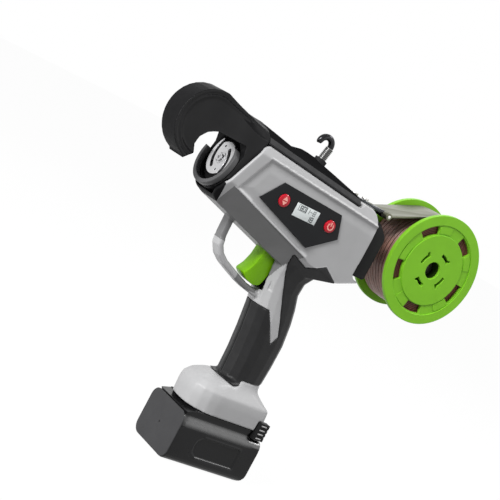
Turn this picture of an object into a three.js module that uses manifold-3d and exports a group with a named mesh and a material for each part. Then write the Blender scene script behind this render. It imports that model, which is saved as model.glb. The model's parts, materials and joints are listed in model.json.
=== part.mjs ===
// Electric vine tying tool: a pistol-grip cordless tool that wraps wire round a stem
// and twists it. Millimetres, +Z up, -X towards the jaw, -Y the side with the control
// panel. The origin is the centre of the battery's flat underside.

import * as THREE from 'three';
import { mergeVertices } from 'three/addons/utils/BufferGeometryUtils.js';
import Module from 'manifold-3d';

const wasm = await Module();
wasm.setup();

const degrees = THREE.MathUtils.degToRad;

// Fits and overruns
const gap = 0.3;
const slideGap = 0.5;
const runningGap = 0.08;
const overrun = 6;
const wedgeOverrun = 60;
const weldTolerance = 0.0001;

// Battery pack
const batteryLength = 85;
const batteryWidth = 59;
const batteryHeight = 40;
const batteryCorner = 9;
const batteryHeel = 7;
const batteryWall = 1.8;
const batterySplitZ = 34;
const batteryRecessDepth = 0.8;
const deckHeight = 7;
const deckInset = 4.5;
const railHeight = 8;
const railHalfWidth = 13;
const railFlare = 2.5;
const railFrontX = -20;
const railRearX = 28;
const cellRadius = 9.1;
const cellLength = 65;
const cellPitch = 18.4;
const latchLength = 13;
const latchHeight = 16.5;
const latchThickness = 7.5;
const latchTravel = 2.5;
const latchRibDepth = 0.6;
const latchRibPitch = 3.6;
const latchRibGroove = 1.4;
const latchStemSize = 4;
const latchStemLength = 7;
const terminalDepth = 6;
const bladeLength = 9;
const bladeThickness = 1.2;
const bladeHeight = 5;
const bladeY = 6;

// Foot that carries the battery, part of the housing
const footLength = 75;
const footWidth = 54;
const footHeight = 36;
const footBaseZ = batteryHeight + deckHeight + slideGap;

// Handle
const handleCentreX = 7;
const handleSink = 3.5;
const handleBaseZ = footBaseZ + footHeight - handleSink;
const handleHeight = 110;
const handleDepth = 40;
const handleWidth = 36;
const gripThickness = 2.2;

// Housing body
const housingWall = 3;
const bodyHalfWidth = 28.5;
const bodyOverhang = 36;
const bodySink = 5;
const bodyLength = 156;
const bodyHeight = 82;
const bodyRearX = handleCentreX + bodyOverhang;
const bodyFrontX = bodyRearX - bodyLength;
const bodyLowZ = handleBaseZ + handleHeight - bodySink;
const bodyTopZ = bodyLowZ + bodyHeight;
const bodyCorner = 3;
const bellyHalfWidth = 14.5;
const bellyBevelHeight = 18;
const topBevelWidth = 3.5;
const topBevelHeight = 8;
const noseShift = 8;
const panelRecess = 1.2;
const screwBossRadius = 4.5;
const screwShankRadius = 1.5;
const screwHeadRadius = 3.2;
const screwHeadHeight = 2;
const screwSink = 2.6;

// Jaw and snout
const axisTilt = degrees(12);
const rotorSetback = 3.1;
const rotorDrop = 27.3;
const rotorCentreX = bodyFrontX + rotorSetback;
const rotorCentreZ = bodyTopZ - rotorDrop;
const hookReach = 28.5;
const hookRise = 17.6;
const hookCentreX = rotorCentreX - hookReach;
const hookCentreZ = rotorCentreZ + hookRise;
const hookRadius = 30;
const headHalfWidth = 25;
const snoutRadius = 24;
const snoutDrop = 2;
const snoutRise = 20;
const bezelWidth = 3.8;
const bezelDepth = 3;
const bezelProud = 2;
const bezelRise = 8;
const rotorRecessRadius = 21;
const rotorRecessDepth = 6.6;
const headRearDepth = 18;

// Twist rotor and its drive
const rotorThickness = 4;
const rotorTipRadius = 19.6;
const rotorDiscRadius = 14.4;
const rotorTipAngle = degrees(43);
const rotorSlotOuter = 16.6;
const rotorSlotInner = 9.8;
const rotorSlotSweep = degrees(122);
const rotorSlotMouth = degrees(8);
const rotorSlotWidth = 2.4;
const rotorShaftRadius = 4;
const rotorShaftLength = 20;
const rotorScrewRadius = 1.6;
const rotorScrewHead = 3.4;
const rotorScrewHeadHeight = 1.6;
const rotorScrewLength = 12;
const shearPlateThickness = 1.8;
const bearingRadius = 8;
const bearingLength = 6;
const gearboxRadius = 12.5;
const gearboxLength = 17.5;
const motorRadius = 12;
const twistMotorLength = 31;

// Wire path from the spool to the jaw
const wireRadius = 0.85;
const nipSetback = 28;
const nipDrop = 27;
const nipX = bodyRearX - nipSetback;
const nipZ = bodyTopZ - nipDrop;
const feedExitReach = 6.1;
const feedExitRise = 26.3;
const feedExitX = rotorCentreX - feedExitReach;
const feedExitZ = rotorCentreZ + feedExitRise;
const feedTubeRadius = 2;
const feedTubeBore = 1;
const feedTubeSetback = 12;
const guideSetback = 7.4;
const guideDrop = 7.3;
const guideCentreX = hookCentreX + guideSetback;
const guideCentreZ = hookCentreZ - guideDrop;
const guideRadius = 17;
const guideThickness = 1.3;
const guideHalfWidth = 1.9;
const guideStart = degrees(64);
const guideEnd = degrees(226);
const inletRadius = 3;
const inletBore = 1.5;
const inletMouthRadius = 6;
const inletMouthDepth = 3;
const inletStandoff = 1.6;
const inletSetback = 12;

// Feed unit
const feedRollerRadius = 9;
const pinchRollerRadius = 5;
const rollerHalfWidth = 4;
const feedShaftRadius = 2.5;
const gearModule = 1.5;
const feedGearTeeth = 21;
const pinionTeeth = 8;
const gearWidth = 5;
const gearInnerY = 15;
const framePlate = 2.5;
const frameHalfWidth = 9.5;
const frameHeight = 50;
const feedMotorSetback = 23;
const feedMotorX = bodyRearX - feedMotorSetback;
const feedMotorLength = 28;
const motorShaftRadius = 2;
const leverThickness = 2.6;
const leverWidth = 6.4;
const leverPinRadius = 1.5;
const leverReach = 16;
const leverRise = 7;
const leverPivotX = nipX - leverReach;
const leverPivotZ = nipZ + leverRise;
const leverInnerY = 5.25;

// Wire spool
const spoolReach = 77.5;
const spoolDrop = 32.3;
const spoolCentreX = bodyRearX + spoolReach;
const spoolCentreZ = bodyTopZ - spoolDrop;
const flangeRadius = 50;
const flangeThickness = 4;
const flangeInnerY = 21.3;
const flangeRimWidth = 8.8;
const flangeRelief = 1;
const flangeSlotOuter = 40.4;
const flangeSlotInner = 32.7;
const flangeSlotAngle = degrees(28);
const flangeSlotStart = degrees(41);
const flangeSlotCount = 5;
const smallSlotRadius = 15.5;
const smallSlotWidth = 2.2;
const smallSlotAngle = degrees(40);
const smallSlotStart = degrees(43);
const smallSlotCount = 4;
const spoolBoreRadius = 7.75;
const spoolBossRadius = 11;
const hubRadius = 30;
const hubWall = 2.5;
const windingRadius = 43.4;
const windingLoops = 16;
const windingPitch = 2.45;
const loopSteps = 24;
const wireSides = 6;
const flangeSides = 32;
const hubSides = 24;
const boreSides = 16;

// Rear cover, spool arm and shaft
const rearCoverDepth = 17;
const rearCoverHalfWidth = 21;
const rearCoverLift = 2;
const rearCoverOver = 1;
const rearCoverWall = 2.2;
const rearCoverSlant = 10;
const armThickness = 4;
const armGap = 1;
const armEndRadius = 11;
const armRootHeight = 30;
const armRootLength = 13;
const armScrewRadius = 1.6;
const spoolShaftRadius = 7.4;
const spoolShaftRecess = 10;
const armSpigotRadius = 4.8;

// Wire pressure plate over the spool and its hinge
const plateThickness = 1.5;
const plateHalfWidth = 17;
const hingeReach = 13;
const hingeDrop = 1;
const hingeX = bodyRearX + hingeReach;
const hingePinRadius = 1.5;
const knuckleRadius = 3;
const knuckleHalfWidth = 9;
const bracketThickness = 2;
const bracketHalfWidth = 13;
const bracketScrewSetback = 12;
const bracketScrewX = bodyRearX - bracketScrewSetback;
const bracketScrewY = 8;
const plateWrapAngle = degrees(38);

// Top cover and hanging hook
const coverHalfWidth = 25.6;
const coverWall = 2.2;
const coverTailLength = 18;
const hangerBossRadius = 5.6;
const hangerBossDepth = 6;
const hangerBarRadius = 2.1;
const hangerBend = 6.2;
const hangerStem = 12;
const hangerTail = 7;
const hangerCollarRadius = 4.6;
const hangerCollarHeight = 1.8;

// Controls
const panelThickness = 1.3;
const panelCorner = 1;
const buttonRadius = 5.4;
const buttonProud = 1.4;
const buttonChamfer = 0.7;
const buttonTravel = 0.8;
const buttonStemRadius = 2.4;
const displayLength = 24.6;
const displayHeight = 11.4;
const boardThickness = 1.6;
const boardLength = 66;
const boardHeight = 25;
const boardY = -22;
const tactSize = 5;
const tactHeight = 1.2;

// Trigger and guard
const triggerReach = 31;
const triggerRise = 8;
const triggerPivotX = handleCentreX - triggerReach;
const triggerPivotZ = bodyLowZ + triggerRise;
const triggerHeight = 36;
const triggerHalfWidth = 7.5;
const triggerPinRadius = 1.5;
const triggerCorner = 2;
const triggerRoom = 0.7;
const triggerStroke = 6.5;
const cheekThickness = 2.5;
const cheekHeight = 22;
const guardReach = 33;
const guardDrop = 32.5;
const guardRootX = handleCentreX - guardReach;
const guardRootZ = bodyLowZ - guardDrop;
const guardDepth = 50;
const guardHeight = 48;
const guardHalfThickness = 2.8;
const guardHalfWidth = 6.2;
const switchLength = 19;
const switchHeight = 20;
const switchHalfWidth = 8.5;
const switchSetback = 1;
const switchDrop = 15;
const switchX = handleCentreX + switchSetback;
const switchZ = bodyLowZ - switchDrop;
const plungerRadius = 2.5;
const plungerLength = 5.5;

// Side outline of the housing body, as shares of its length (from the rear) and height
const bodyShares = [
  [0.865, 0.994], [0.151, 0.851], [0.141, 0.906], [0.045, 0.894], [0.003, 0.793],
  [0, 0.61], [0.003, 0.171], [-0.064, 0.159], [0.083, 0.055], [0.244, -0.037],
  [0.404, -0.015], [0.949, 0.287], [0.994, 0.354], [0.984, 0.512],
];
// Recessed side panel, same shares
const sidePanelShares = [
  [0.82, 0.89], [-0.05, 0.755], [-0.05, 0.17], [0.03, 0.17], [0.2, 0.2],
  [0.36, 0.175], [0.91, 0.49],
];
// Handle levels: height, front and rear (of the depth), half width (of the width)
const handleLevelShares = [
  [-0.06, -0.463, 0.5, 0.486], [0.182, -0.485, 0.535, 0.494], [0.364, -0.535, 0.535, 0.5],
  [0.545, -0.61, 0.46, 0.494], [0.655, -0.675, 0.388, 0.472], [0.773, -0.725, 0.275, 0.458],
  [0.873, -0.75, 0.288, 0.472], [0.945, -0.775, 0.425, 0.528], [1.018, -0.825, 0.725, 0.611],
  [1.073, -0.825, 0.875, 0.667],
];
const handleCornerShare = 0.86;
// Foot levels: height, front, rear (of the length), half width, front and rear corners
const footLevelShares = [
  [0, -0.513, 0.473, 0.491, 0.407, 0.074], [0.347, -0.52, 0.48, 0.5, 0.407, 0.074],
  [0.514, -0.513, 0.473, 0.491, 0.407, 0.074], [0.681, -0.453, 0.387, 0.407, 0.333, 0.167],
  [0.778, -0.347, 0.353, 0.361, 0.296, 0.241], [0.875, -0.173, 0.353, 0.33, 0.278, 0.278],
  [1.014, -0.12, 0.33, 0.3, 0.25, 0.25],
];
// Area of the rubber grip in side view, as shares of the handle's height
const gripAreaShares = [
  [-0.7, 0.01], [-0.309, 0], [-0.118, -0.043], [-0.073, -0.027], [-0.055, 0.018],
  [0.482, 0.032], [0.482, 0.918], [0.2, 1], [0.064, 1.082], [-0.082, 1.009],
  [-0.245, 1.068], [-0.205, 0.973], [0.041, 0.432], [0.009, 0.359], [-0.136, 0.595],
  [-0.7, 0.6],
];
// Throat side of the hook and the roof behind it, from the hook's centre, as shares of
// its outer radius
const throatShares = [
  [-0.32, -1.01], [-0.07, -0.77], [-0.17, -0.543], [-0.137, -0.327], [0.013, -0.127],
  [0.247, 0], [1.003, 0], [1.147, -0.71], [2.1, -0.71], [2.1, 0.63],
];
// Plan view of the head: distance behind the hook's front (of its radius), half width
// (of the head's)
const headPlanShares = [
  [-0.1, 0.48], [0.8, 0.48], [1.15, 0.53], [1.5, 0.72], [1.85, 0.92], [2.25, 1], [3.3, 1],
];
// Top cover crest in side view, as shares of the body's length and height
const coverCrestShares = [
  [0.865, 1.146], [0.62, 1.055], [0.56, 1.098], [0.45, 1.092], [0.404, 1.049],
  [0.17, 0.938], [0.17, 0.85], [0.865, 0.993],
];
// Arch of the top cover across the tool: share of its half width, height share of the body
const coverArchShares = [[1, 0.02], [0.86, 0.068], [0.4, 0.13], [0, 0.17]];
// Control panel on the body's side, and the places of the mode button, the power button,
// the display and the hanging hook, as shares of the body's length (from the rear) and height
const panelShares = [[0.778, 0.51], [0.678, 0.744], [0.265, 0.705], [0.215, 0.466], [0.376, 0.256]];
const placeShares = [[0.638, 0.585], [0.304, 0.551], [0.476, 0.561], [0.42, 1.0976]];
// Trigger pocket and the cheeks beside it, from the pivot, of the trigger's and cheeks' height
const pocketShares = { front: 0.316, rear: 0.14, top: 0.111 };
const cheekShares = { front: 0.36, rear: 0.34, low: 0.45, high: 0.4 };
const triggerShares = [
  [-0.236, 0.111], [-0.292, -0.111], [-0.319, -0.361], [-0.403, -0.611], [-0.528, -0.792],
  [-0.389, -0.903], [-0.167, -0.972], [0.014, -0.917], [0.097, -0.639], [0.111, 0.111],
];
const guardShares = [
  [-0.2, -0.03], [0.16, 0.045], [0.5, 0.175], [0.82, 0.33], [0.96, 0.5], [1.01, 1.07], [1.03, 1.2],
];
// Section of the guard's bar: shares of its half width and half thickness
const guardSectionShares = [
  [1, 0.5], [0.8, 1], [-0.8, 1], [-1, 0.5], [-1, -0.5], [-0.8, -1], [0.8, -1], [1, -0.5],
];
// Feed frame's drive-side plate and idle-side plate, from the nip, shares of its height
const drivePlateShares = [
  [-0.41, 0.06], [-0.41, 0.22], [-0.22, 0.23], [0.2, 0.06], [0.325, -0.36], [0.325, -0.82],
  [-0.14, -0.82], [-0.22, -0.36],
];
const idlePlateShares = [
  [-0.22, -0.3], [-0.16, 0], [0.14, 0], [0.24, -0.12], [0.24, -0.35], [-0.1, -0.35],
];
const bridgeShares = { front: 0.17, rear: 0.238, low: 0.35, high: 0.13 };
// Recess in the battery's side: front and rear of half its length, low and high of its height
const recessShares = { front: 0.5, rear: 0.58, low: 0.25, high: 0.7 };
const housingScrewShares = [[0.699, 0.774], [0.058, 0.744], [0.042, 0.183]];
// Gear tooth: half its root and half its tip, as shares of the tooth pitch
const toothRootShare = 0.3;
const toothTipShare = 0.13;

// Finishes
function finish(color, roughness, metalness = 0) {
  return new THREE.MeshStandardMaterial({ color, roughness, metalness });
}
const finishes = {
  shell: finish(0xa6a6a6, 0.5),
  black: finish(0x242424, 0.45),
  rubber: finish(0x2a2a2a, 0.8),
  green: finish(0x7abe32, 0.45),
  red: finish(0xc81430, 0.35),
  steel: finish(0xb9b4aa, 0.35, 1),
  darkSteel: finish(0x55585c, 0.4, 1),
  satin: finish(0x6c6c6c, 0.5, 0.6),
  bronze: finish(0xb08a4a, 0.4, 1),
  wire: finish(0x84603f, 0.5),
  cell: finish(0x3f8a6a, 0.4),
  board: finish(0x1f5a35, 0.6),
  screen: finish(0xd7dcdc, 0.2),
  gear: finish(0xe4e0d4, 0.5),
};

// Solids from geometry
function solidOf(shape) {
  if (!shape.isBufferGeometry) {
    return shape;
  }
  const bare = shape.clone();
  bare.deleteAttribute('normal');
  bare.deleteAttribute('uv');
  const merged = mergeVertices(bare, weldTolerance);
  const vertProperties = merged.getAttribute('position').array;
  const triVerts = outwardTriangles(vertProperties, merged.index.array);
  return new wasm.Manifold(new wasm.Mesh({ numProp: 3, vertProperties, triVerts }));
}

function outwardTriangles(position, index) {
  const corners = [new THREE.Vector3(), new THREE.Vector3(), new THREE.Vector3()];
  const kept = [];
  let volume = 0;
  for (let i = 0; i < index.length; i += 3) {
    const [a, b, c] = index.slice(i, i + 3);
    if (a !== b && b !== c && c !== a) {
      kept.push([a, b, c]);
      corners.forEach((corner, k) => corner.fromArray(position, 3 * index[i + k]));
      volume += corners[0].dot(corners[1].cross(corners[2]));
    }
  }
  return Uint32Array.from((volume < 0 ? kept.map(([a, b, c]) => [b, a, c]) : kept).flat());
}

function meshOf(name, shape, material) {
  const data = solidOf(shape).getMesh();
  const geometry = new THREE.BufferGeometry();
  geometry.setAttribute('position', new THREE.BufferAttribute(Float32Array.from(data.vertProperties), 3));
  geometry.setIndex(new THREE.BufferAttribute(Uint32Array.from(data.triVerts), 1));
  geometry.computeVertexNormals();
  const mesh = new THREE.Mesh(geometry, material);
  mesh.name = name;
  return mesh;
}

const joined = (...shapes) => shapes.map(solidOf).reduce((all, solid) => all.add(solid));
const common = (...shapes) => shapes.map(solidOf).reduce((all, solid) => all.intersect(solid));
const cut = (shape, ...tools) =>
  tools.map(solidOf).reduce((rest, tool) => rest.subtract(tool), solidOf(shape));

// Outlines
const scaled = (shares, originX, originZ, sizeX, sizeZ) =>
  shares.map(([x, z]) => [originX + x * sizeX, originZ + z * sizeZ]);

function arcPoints(x, y, radius, from, to, steps) {
  return Array.from({ length: steps + 1 }, (_, i) => {
    const angle = from + (to - from) * i / steps;
    return [x + radius * Math.cos(angle), y + radius * Math.sin(angle)];
  });
}

const circlePoints = (x, y, radius, sides) => arcPoints(x, y, radius, 0, 2 * Math.PI, sides).slice(0, -1);

// A curved slot: an outer arc out and an inner arc back
function arcSlot(outer, inner, start, sweep, steps) {
  return [...arcPoints(0, 0, outer, start, start + sweep, steps),
    ...arcPoints(0, 0, inner, start + sweep, start, steps)];
}

function outline(points, radius = 0) {
  const shape = new THREE.Shape();
  const count = points.length;
  points.forEach((point, i) => {
    const corner = new THREE.Vector2(...point);
    const before = new THREE.Vector2(...points[(i + count - 1) % count]);
    const after = new THREE.Vector2(...points[(i + 1) % count]);
    const room = Math.min(corner.distanceTo(before), corner.distanceTo(after)) / 2.2;
    const rounding = Math.min(radius, room);
    const start = corner.clone().lerp(before, rounding / corner.distanceTo(before));
    const end = corner.clone().lerp(after, rounding / corner.distanceTo(after));
    if (i === 0) {
      shape.moveTo(start.x, start.y);
    } else {
      shape.lineTo(start.x, start.y);
    }
    if (rounding > 0) {
      shape.quadraticCurveTo(corner.x, corner.y, end.x, end.y);
    }
  });
  return shape;
}

// An outline with its edges moved inwards by a distance
function inset(points, distance) {
  const corners = points.map((point) => new THREE.Vector2(...point));
  const turn = -Math.sign(THREE.ShapeUtils.area(corners));
  const count = corners.length;
  return corners.map((corner, i) => {
    const arrive = corner.clone().sub(corners[(i + count - 1) % count]).normalize();
    const leave = corners[(i + 1) % count].clone().sub(corner).normalize();
    const arriveSide = new THREE.Vector2(arrive.y * turn, -arrive.x * turn);
    const leaveSide = new THREE.Vector2(leave.y * turn, -leave.x * turn);
    const middle = arriveSide.add(leaveSide).normalize();
    return corner.clone().addScaledVector(middle, distance / middle.dot(leaveSide)).toArray();
  });
}

// Shapes: each plane maps an outline's right, up and depth to the part's axes
const planes = {
  xy: new THREE.Matrix4(),
  xz: new THREE.Matrix4().makeBasis(
    new THREE.Vector3(1, 0, 0), new THREE.Vector3(0, 0, 1), new THREE.Vector3(0, -1, 0)),
  yz: new THREE.Matrix4().makeBasis(
    new THREE.Vector3(0, 1, 0), new THREE.Vector3(0, 0, 1), new THREE.Vector3(1, 0, 0)),
};

function prism(plane, shape, from, to, curveSegments = 3) {
  const geometry = new THREE.ExtrudeGeometry(shape, {
    depth: to - from, bevelEnabled: false, curveSegments,
  });
  geometry.translate(0, 0, plane === 'xz' ? -to : from);
  return geometry.applyMatrix4(planes[plane]);
}

function box(x0, x1, y0, y1, z0, z1) {
  return new THREE.BoxGeometry(x1 - x0, y1 - y0, z1 - z0)
    .translate((x0 + x1) / 2, (y0 + y1) / 2, (z0 + z1) / 2);
}

function sideBox(side, x0, x1, near, far, z0, z1) {
  return side > 0 ? box(x0, x1, near, far, z0, z1) : box(x0, x1, -far, -near, z0, z1);
}

// Round shapes along Z, from [radius, height] profiles that start and end on the axis
// or close on themselves
function lathe(profile, sides = 16) {
  const points = profile.map(([radius, height]) => new THREE.Vector2(radius, height));
  return new THREE.LatheGeometry(points, sides).rotateX(Math.PI / 2);
}

const rod = (radius, from, to, sides) => lathe([[0, from], [radius, from], [radius, to], [0, to]], sides);

const pipe = (radius, bore, from, to, sides) =>
  lathe([[bore, from], [radius, from], [radius, to], [bore, to], [bore, from]], sides);

const alongY = (geometry, x = 0, z = 0) => geometry.rotateX(-Math.PI / 2).translate(x, 0, z);

function planRing(front, rear, halfWidth, frontCorner, rearCorner, z, cornerSteps) {
  const corners = [
    [rear - rearCorner, halfWidth - rearCorner, rearCorner],
    [front + frontCorner, halfWidth - frontCorner, frontCorner],
    [front + frontCorner, frontCorner - halfWidth, frontCorner],
    [rear - rearCorner, rearCorner - halfWidth, rearCorner],
  ];
  return corners.flatMap(([x, y, radius], quarter) =>
    arcPoints(x, y, radius, quarter * Math.PI / 2, (quarter + 1) * Math.PI / 2, cornerSteps)
      .map(([px, py]) => new THREE.Vector3(px, py, z)));
}

function loft(rings) {
  const size = rings[0].length;
  const index = [];
  for (let level = 0; level + 1 < rings.length; level += 1) {
    for (let i = 0; i < size; i += 1) {
      const a = level * size + i;
      const b = level * size + (i + 1) % size;
      index.push(a, b, b + size, a, b + size, a + size);
    }
  }
  const last = (rings.length - 1) * size;
  for (let i = 1; i + 1 < size; i += 1) {
    index.push(0, i + 1, i, last, last + i, last + i + 1);
  }
  return new THREE.BufferGeometry().setFromPoints(rings.flat()).setIndex(index);
}

function half(shape, side) {
  const reach = bodyLength + bodyHeight + batteryLength;
  return common(shape, sideBox(side, -reach, reach, gap / 2, reach, -reach, 2 * reach));
}

// Frames of the twist axis and of the wire's path through the tool
const forward = new THREE.Vector3(-Math.cos(axisTilt), 0, Math.sin(axisTilt));
const rising = new THREE.Vector3(Math.sin(axisTilt), 0, Math.cos(axisTilt));
const sideways = new THREE.Vector3(0, -1, 0);
const rotorFrame = new THREE.Matrix4().makeBasis(sideways, rising, forward)
  .setPosition(rotorCentreX, 0, rotorCentreZ);
const feedRun = new THREE.Vector3(feedExitX - nipX, 0, feedExitZ - nipZ);
const feedAhead = feedRun.clone().normalize();
const feedUp = new THREE.Vector3(feedAhead.z, 0, -feedAhead.x);
const feedFrame = new THREE.Matrix4().makeBasis(sideways, feedUp, feedAhead).setPosition(nipX, 0, nipZ);
const onTwistAxis = (geometry) => geometry.applyMatrix4(rotorFrame);
const onFeedLine = (geometry) => geometry.applyMatrix4(feedFrame);
const offFeedLine = (distance) => [nipX + feedUp.x * distance, nipZ + feedUp.z * distance];

// Housing
const onBody = (shares) => scaled(shares, bodyRearX, bodyLowZ, -bodyLength, bodyHeight);
const bodyOutline = onBody(bodyShares);
const [topFront, topRear] = bodyOutline;
const [deckFront, deckRear, rearHigh, , rearLow] = bodyOutline.slice(2);
const [bellyRear, bellyFront, lipLow, lipHigh] = bodyOutline.slice(10);
const [modeButton, powerButton, displayCentre, hangerFoot] = onBody(placeShares);
const gripArea = scaled(gripAreaShares, handleCentreX, handleBaseZ, handleHeight, handleHeight);
const coreWall = gripThickness + gap + housingWall;
const railTopZ = batteryHeight + deckHeight + railHeight;
const latchFrontX = batteryLength / 2 - latchLength;
const latchFaceY = batteryWidth / 2 - batteryWall;
const latchInnerY = latchFaceY - latchThickness;
const pocketHalfWidth = triggerHalfWidth + triggerRoom;

// A wedge along a long edge of the body: it runs from rear to front in side view, and
// its face passes through two points of the section, each a half width and a height
function edgeWedge(side, rear, front, inner, outer, depth) {
  const run = new THREE.Vector3(front[0] - rear[0], 0, front[1] - rear[1]);
  const ahead = run.clone().normalize();
  const up = new THREE.Vector3(ahead.z, 0, -ahead.x);
  const face = new THREE.Vector2(outer[0] - inner[0], outer[1] - inner[1]).normalize();
  const outward = new THREE.Vector2(Math.abs(face.y), face.y > 0 ? -face.x : face.x);
  const faceLength = Math.hypot(outer[0] - inner[0], outer[1] - inner[1]);
  const start = new THREE.Vector2(...inner).addScaledVector(outward, -depth);
  const low = start.clone().addScaledVector(face, -overrun);
  const high = start.clone().addScaledVector(face, faceLength + overrun);
  const section = [low, high, high.clone().addScaledVector(outward, bodyHalfWidth),
    low.clone().addScaledVector(outward, bodyHalfWidth)];
  const geometry = new THREE.ExtrudeGeometry(outline(section.map((point) => [-side * point.x, point.y])), {
    depth: run.length() + wedgeOverrun + 2 * overrun, bevelEnabled: false,
  });
  return geometry.translate(0, 0, -wedgeOverrun)
    .applyMatrix4(new THREE.Matrix4().makeBasis(sideways, up, ahead).setPosition(rear[0], 0, rear[1]));
}

function bodyForm(depth, shift = 0) {
  const side = inset(bodyOutline, depth).map(([x, z]) => [x + shift * forward.x, z + shift * forward.z]);
  const halfWidth = bodyHalfWidth - depth;
  const wedges = [-1, 1].flatMap((sign) => [
    edgeWedge(sign, bellyRear, bellyFront, [bellyHalfWidth, 0], [bodyHalfWidth, bellyBevelHeight], depth),
    edgeWedge(sign, topRear, topFront, [bodyHalfWidth - topBevelWidth, 0],
      [bodyHalfWidth, -topBevelHeight], depth),
  ]);
  return cut(prism('xz', outline(side, depth > 0 ? 0 : bodyCorner), -halfWidth, halfWidth, 1), ...wedges);
}

// Rooms inside the walls are drawn with fewer steps round each corner
const ringSteps = (depth, shown) => (depth < housingWall ? shown : 2);

function handleForm(depth) {
  return loft(handleLevelShares.map(([height, front, rear, width]) => {
    const halfWidth = width * handleWidth - depth;
    const corner = handleCornerShare * halfWidth;
    return planRing(handleCentreX + front * handleDepth + depth,
      handleCentreX + rear * handleDepth - depth, halfWidth, corner, corner,
      handleBaseZ + height * handleHeight, ringSteps(depth, 3));
  }));
}

function footForm(depth) {
  return loft(footLevelShares.map(([height, front, rear, width, frontCorner, rearCorner]) =>
    planRing(front * footLength + depth, rear * footLength - depth, width * footWidth - depth,
      Math.max(frontCorner * footWidth - depth, gap), Math.max(rearCorner * footWidth - depth, gap),
      footBaseZ + height * (footHeight - depth), ringSteps(depth, 4))));
}

function guardForm() {
  const points = scaled(guardShares, guardRootX, guardRootZ, -guardDepth, guardHeight);
  const path = new THREE.CatmullRomCurve3(
    points.map(([x, z]) => new THREE.Vector3(x, 0, z)), false, 'centripetal');
  const section = scaled(guardSectionShares, 0, 0, guardHalfWidth, guardHalfThickness);
  return new THREE.ExtrudeGeometry(outline(section), { steps: 12, extrudePath: path });
}

const outerForm = joined(bodyForm(0), handleForm(0), footForm(0), guardForm());
const innerForm = (depth) => joined(bodyForm(depth), handleForm(depth), footForm(depth));
const gripPrism = (depth) => prism('xz', outline(inset(gripArea, depth)),
  -bodyHalfWidth - overrun, bodyHalfWidth + overrun);

function housingRoom() {
  const floorZ = railTopZ + slideGap + housingWall;
  const footRoom = common(footForm(housingWall),
    box(-footLength, footLength, -footWidth, footWidth, floorZ, floorZ + handleHeight));
  const room = joined(bodyForm(housingWall), bodyForm(housingWall, noseShift),
    handleForm(coreWall), footRoom);
  return cut(room, cut(gripPrism(-housingWall), innerForm(coreWall)));
}

function triggerPocket() {
  const frontX = triggerPivotX - pocketShares.front * triggerHeight;
  const rearX = triggerPivotX + pocketShares.rear * triggerHeight + triggerStroke;
  const topZ = triggerPivotZ + pocketShares.top * triggerHeight + 3 * triggerRoom;
  return box(frontX, rearX, -pocketHalfWidth, pocketHalfWidth, triggerPivotZ - triggerHeight, topZ);
}

function triggerCheeks() {
  const outerY = pocketHalfWidth + cheekThickness;
  const frontX = triggerPivotX - cheekShares.front * triggerHeight;
  const rearX = triggerPivotX + cheekShares.rear * triggerHeight;
  return box(frontX, rearX, -outerY, outerY,
    triggerPivotZ - cheekShares.low * cheekHeight, triggerPivotZ + cheekShares.high * cheekHeight);
}

const railOutline = (extra) => outline([
  [-railHalfWidth - extra, -overrun], [-railHalfWidth - extra, 0],
  [-railHalfWidth - railFlare - extra, railHeight + extra],
  [railHalfWidth + railFlare + extra, railHeight + extra],
  [railHalfWidth + extra, 0], [railHalfWidth + extra, -overrun],
].map(([y, z]) => [y, z + batteryHeight + deckHeight]));

function railRoom() {
  const frontX = railFrontX - terminalDepth - slideGap;
  return prism('yz', railOutline(slideGap), frontX, footLength);
}

const latchRoom = (side) => sideBox(side, latchFrontX - slideGap, footLength,
  latchInnerY - latchTravel - slideGap, footWidth, batteryHeight - slideGap,
  batteryHeight + latchHeight + slideGap);

const screwPlaces = onBody(housingScrewShares);

function displayBox(extra, from, to) {
  const [x, z] = displayCentre;
  return box(x - displayLength / 2 - extra, x + displayLength / 2 + extra, from, to,
    z - displayHeight / 2 - extra, z + displayHeight / 2 + extra);
}

function housing() {
  const sidePanel = outline(onBody(sidePanelShares));
  const panelY = bodyHalfWidth - panelRecess;
  const bosses = screwPlaces.map(([x, z]) => alongY(
    rod(screwBossRadius, -bodyHalfWidth + panelRecess + gap, bodyHalfWidth - panelRecess - gap, 10), x, z));
  const screwHoles = screwPlaces.flatMap(([x, z]) => [
    alongY(rod(screwShankRadius + gap, -bodyHalfWidth + 2 * housingWall, bodyHalfWidth, 10), x, z),
    alongY(rod(screwHeadRadius + gap, bodyHalfWidth - screwSink - panelRecess, bodyHalfWidth, 10), x, z),
  ]);
  const buttonHoles = [modeButton, powerButton].map(([x, z]) =>
    alongY(rod(buttonStemRadius + slideGap, -bodyHalfWidth, -bodyHalfWidth + 2 * housingWall, 12), x, z));
  const walls = cut(outerForm, cut(gripPrism(0), innerForm(gripThickness + gap)), housingRoom(),
    prism('xz', sidePanel, panelY, bodyHalfWidth + overrun),
    prism('xz', sidePanel, -bodyHalfWidth - overrun, -panelY));
  return cut(joined(walls, common(joined(...bosses, triggerCheeks()), bodyForm(housingWall / 2))),
    triggerPocket(), railRoom(), latchRoom(1), latchRoom(-1), ...screwHoles, ...buttonHoles,
    alongY(rod(triggerPinRadius + runningGap, -bodyHalfWidth / 2, bodyHalfWidth / 2, 12),
      triggerPivotX, triggerPivotZ),
    displayBox(gap, -bodyHalfWidth, -bodyHalfWidth + 2 * housingWall),
    onFeedLine(rod(inletRadius + gap, -bodyLength / 2, -inletSetback, 16)));
}

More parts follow.
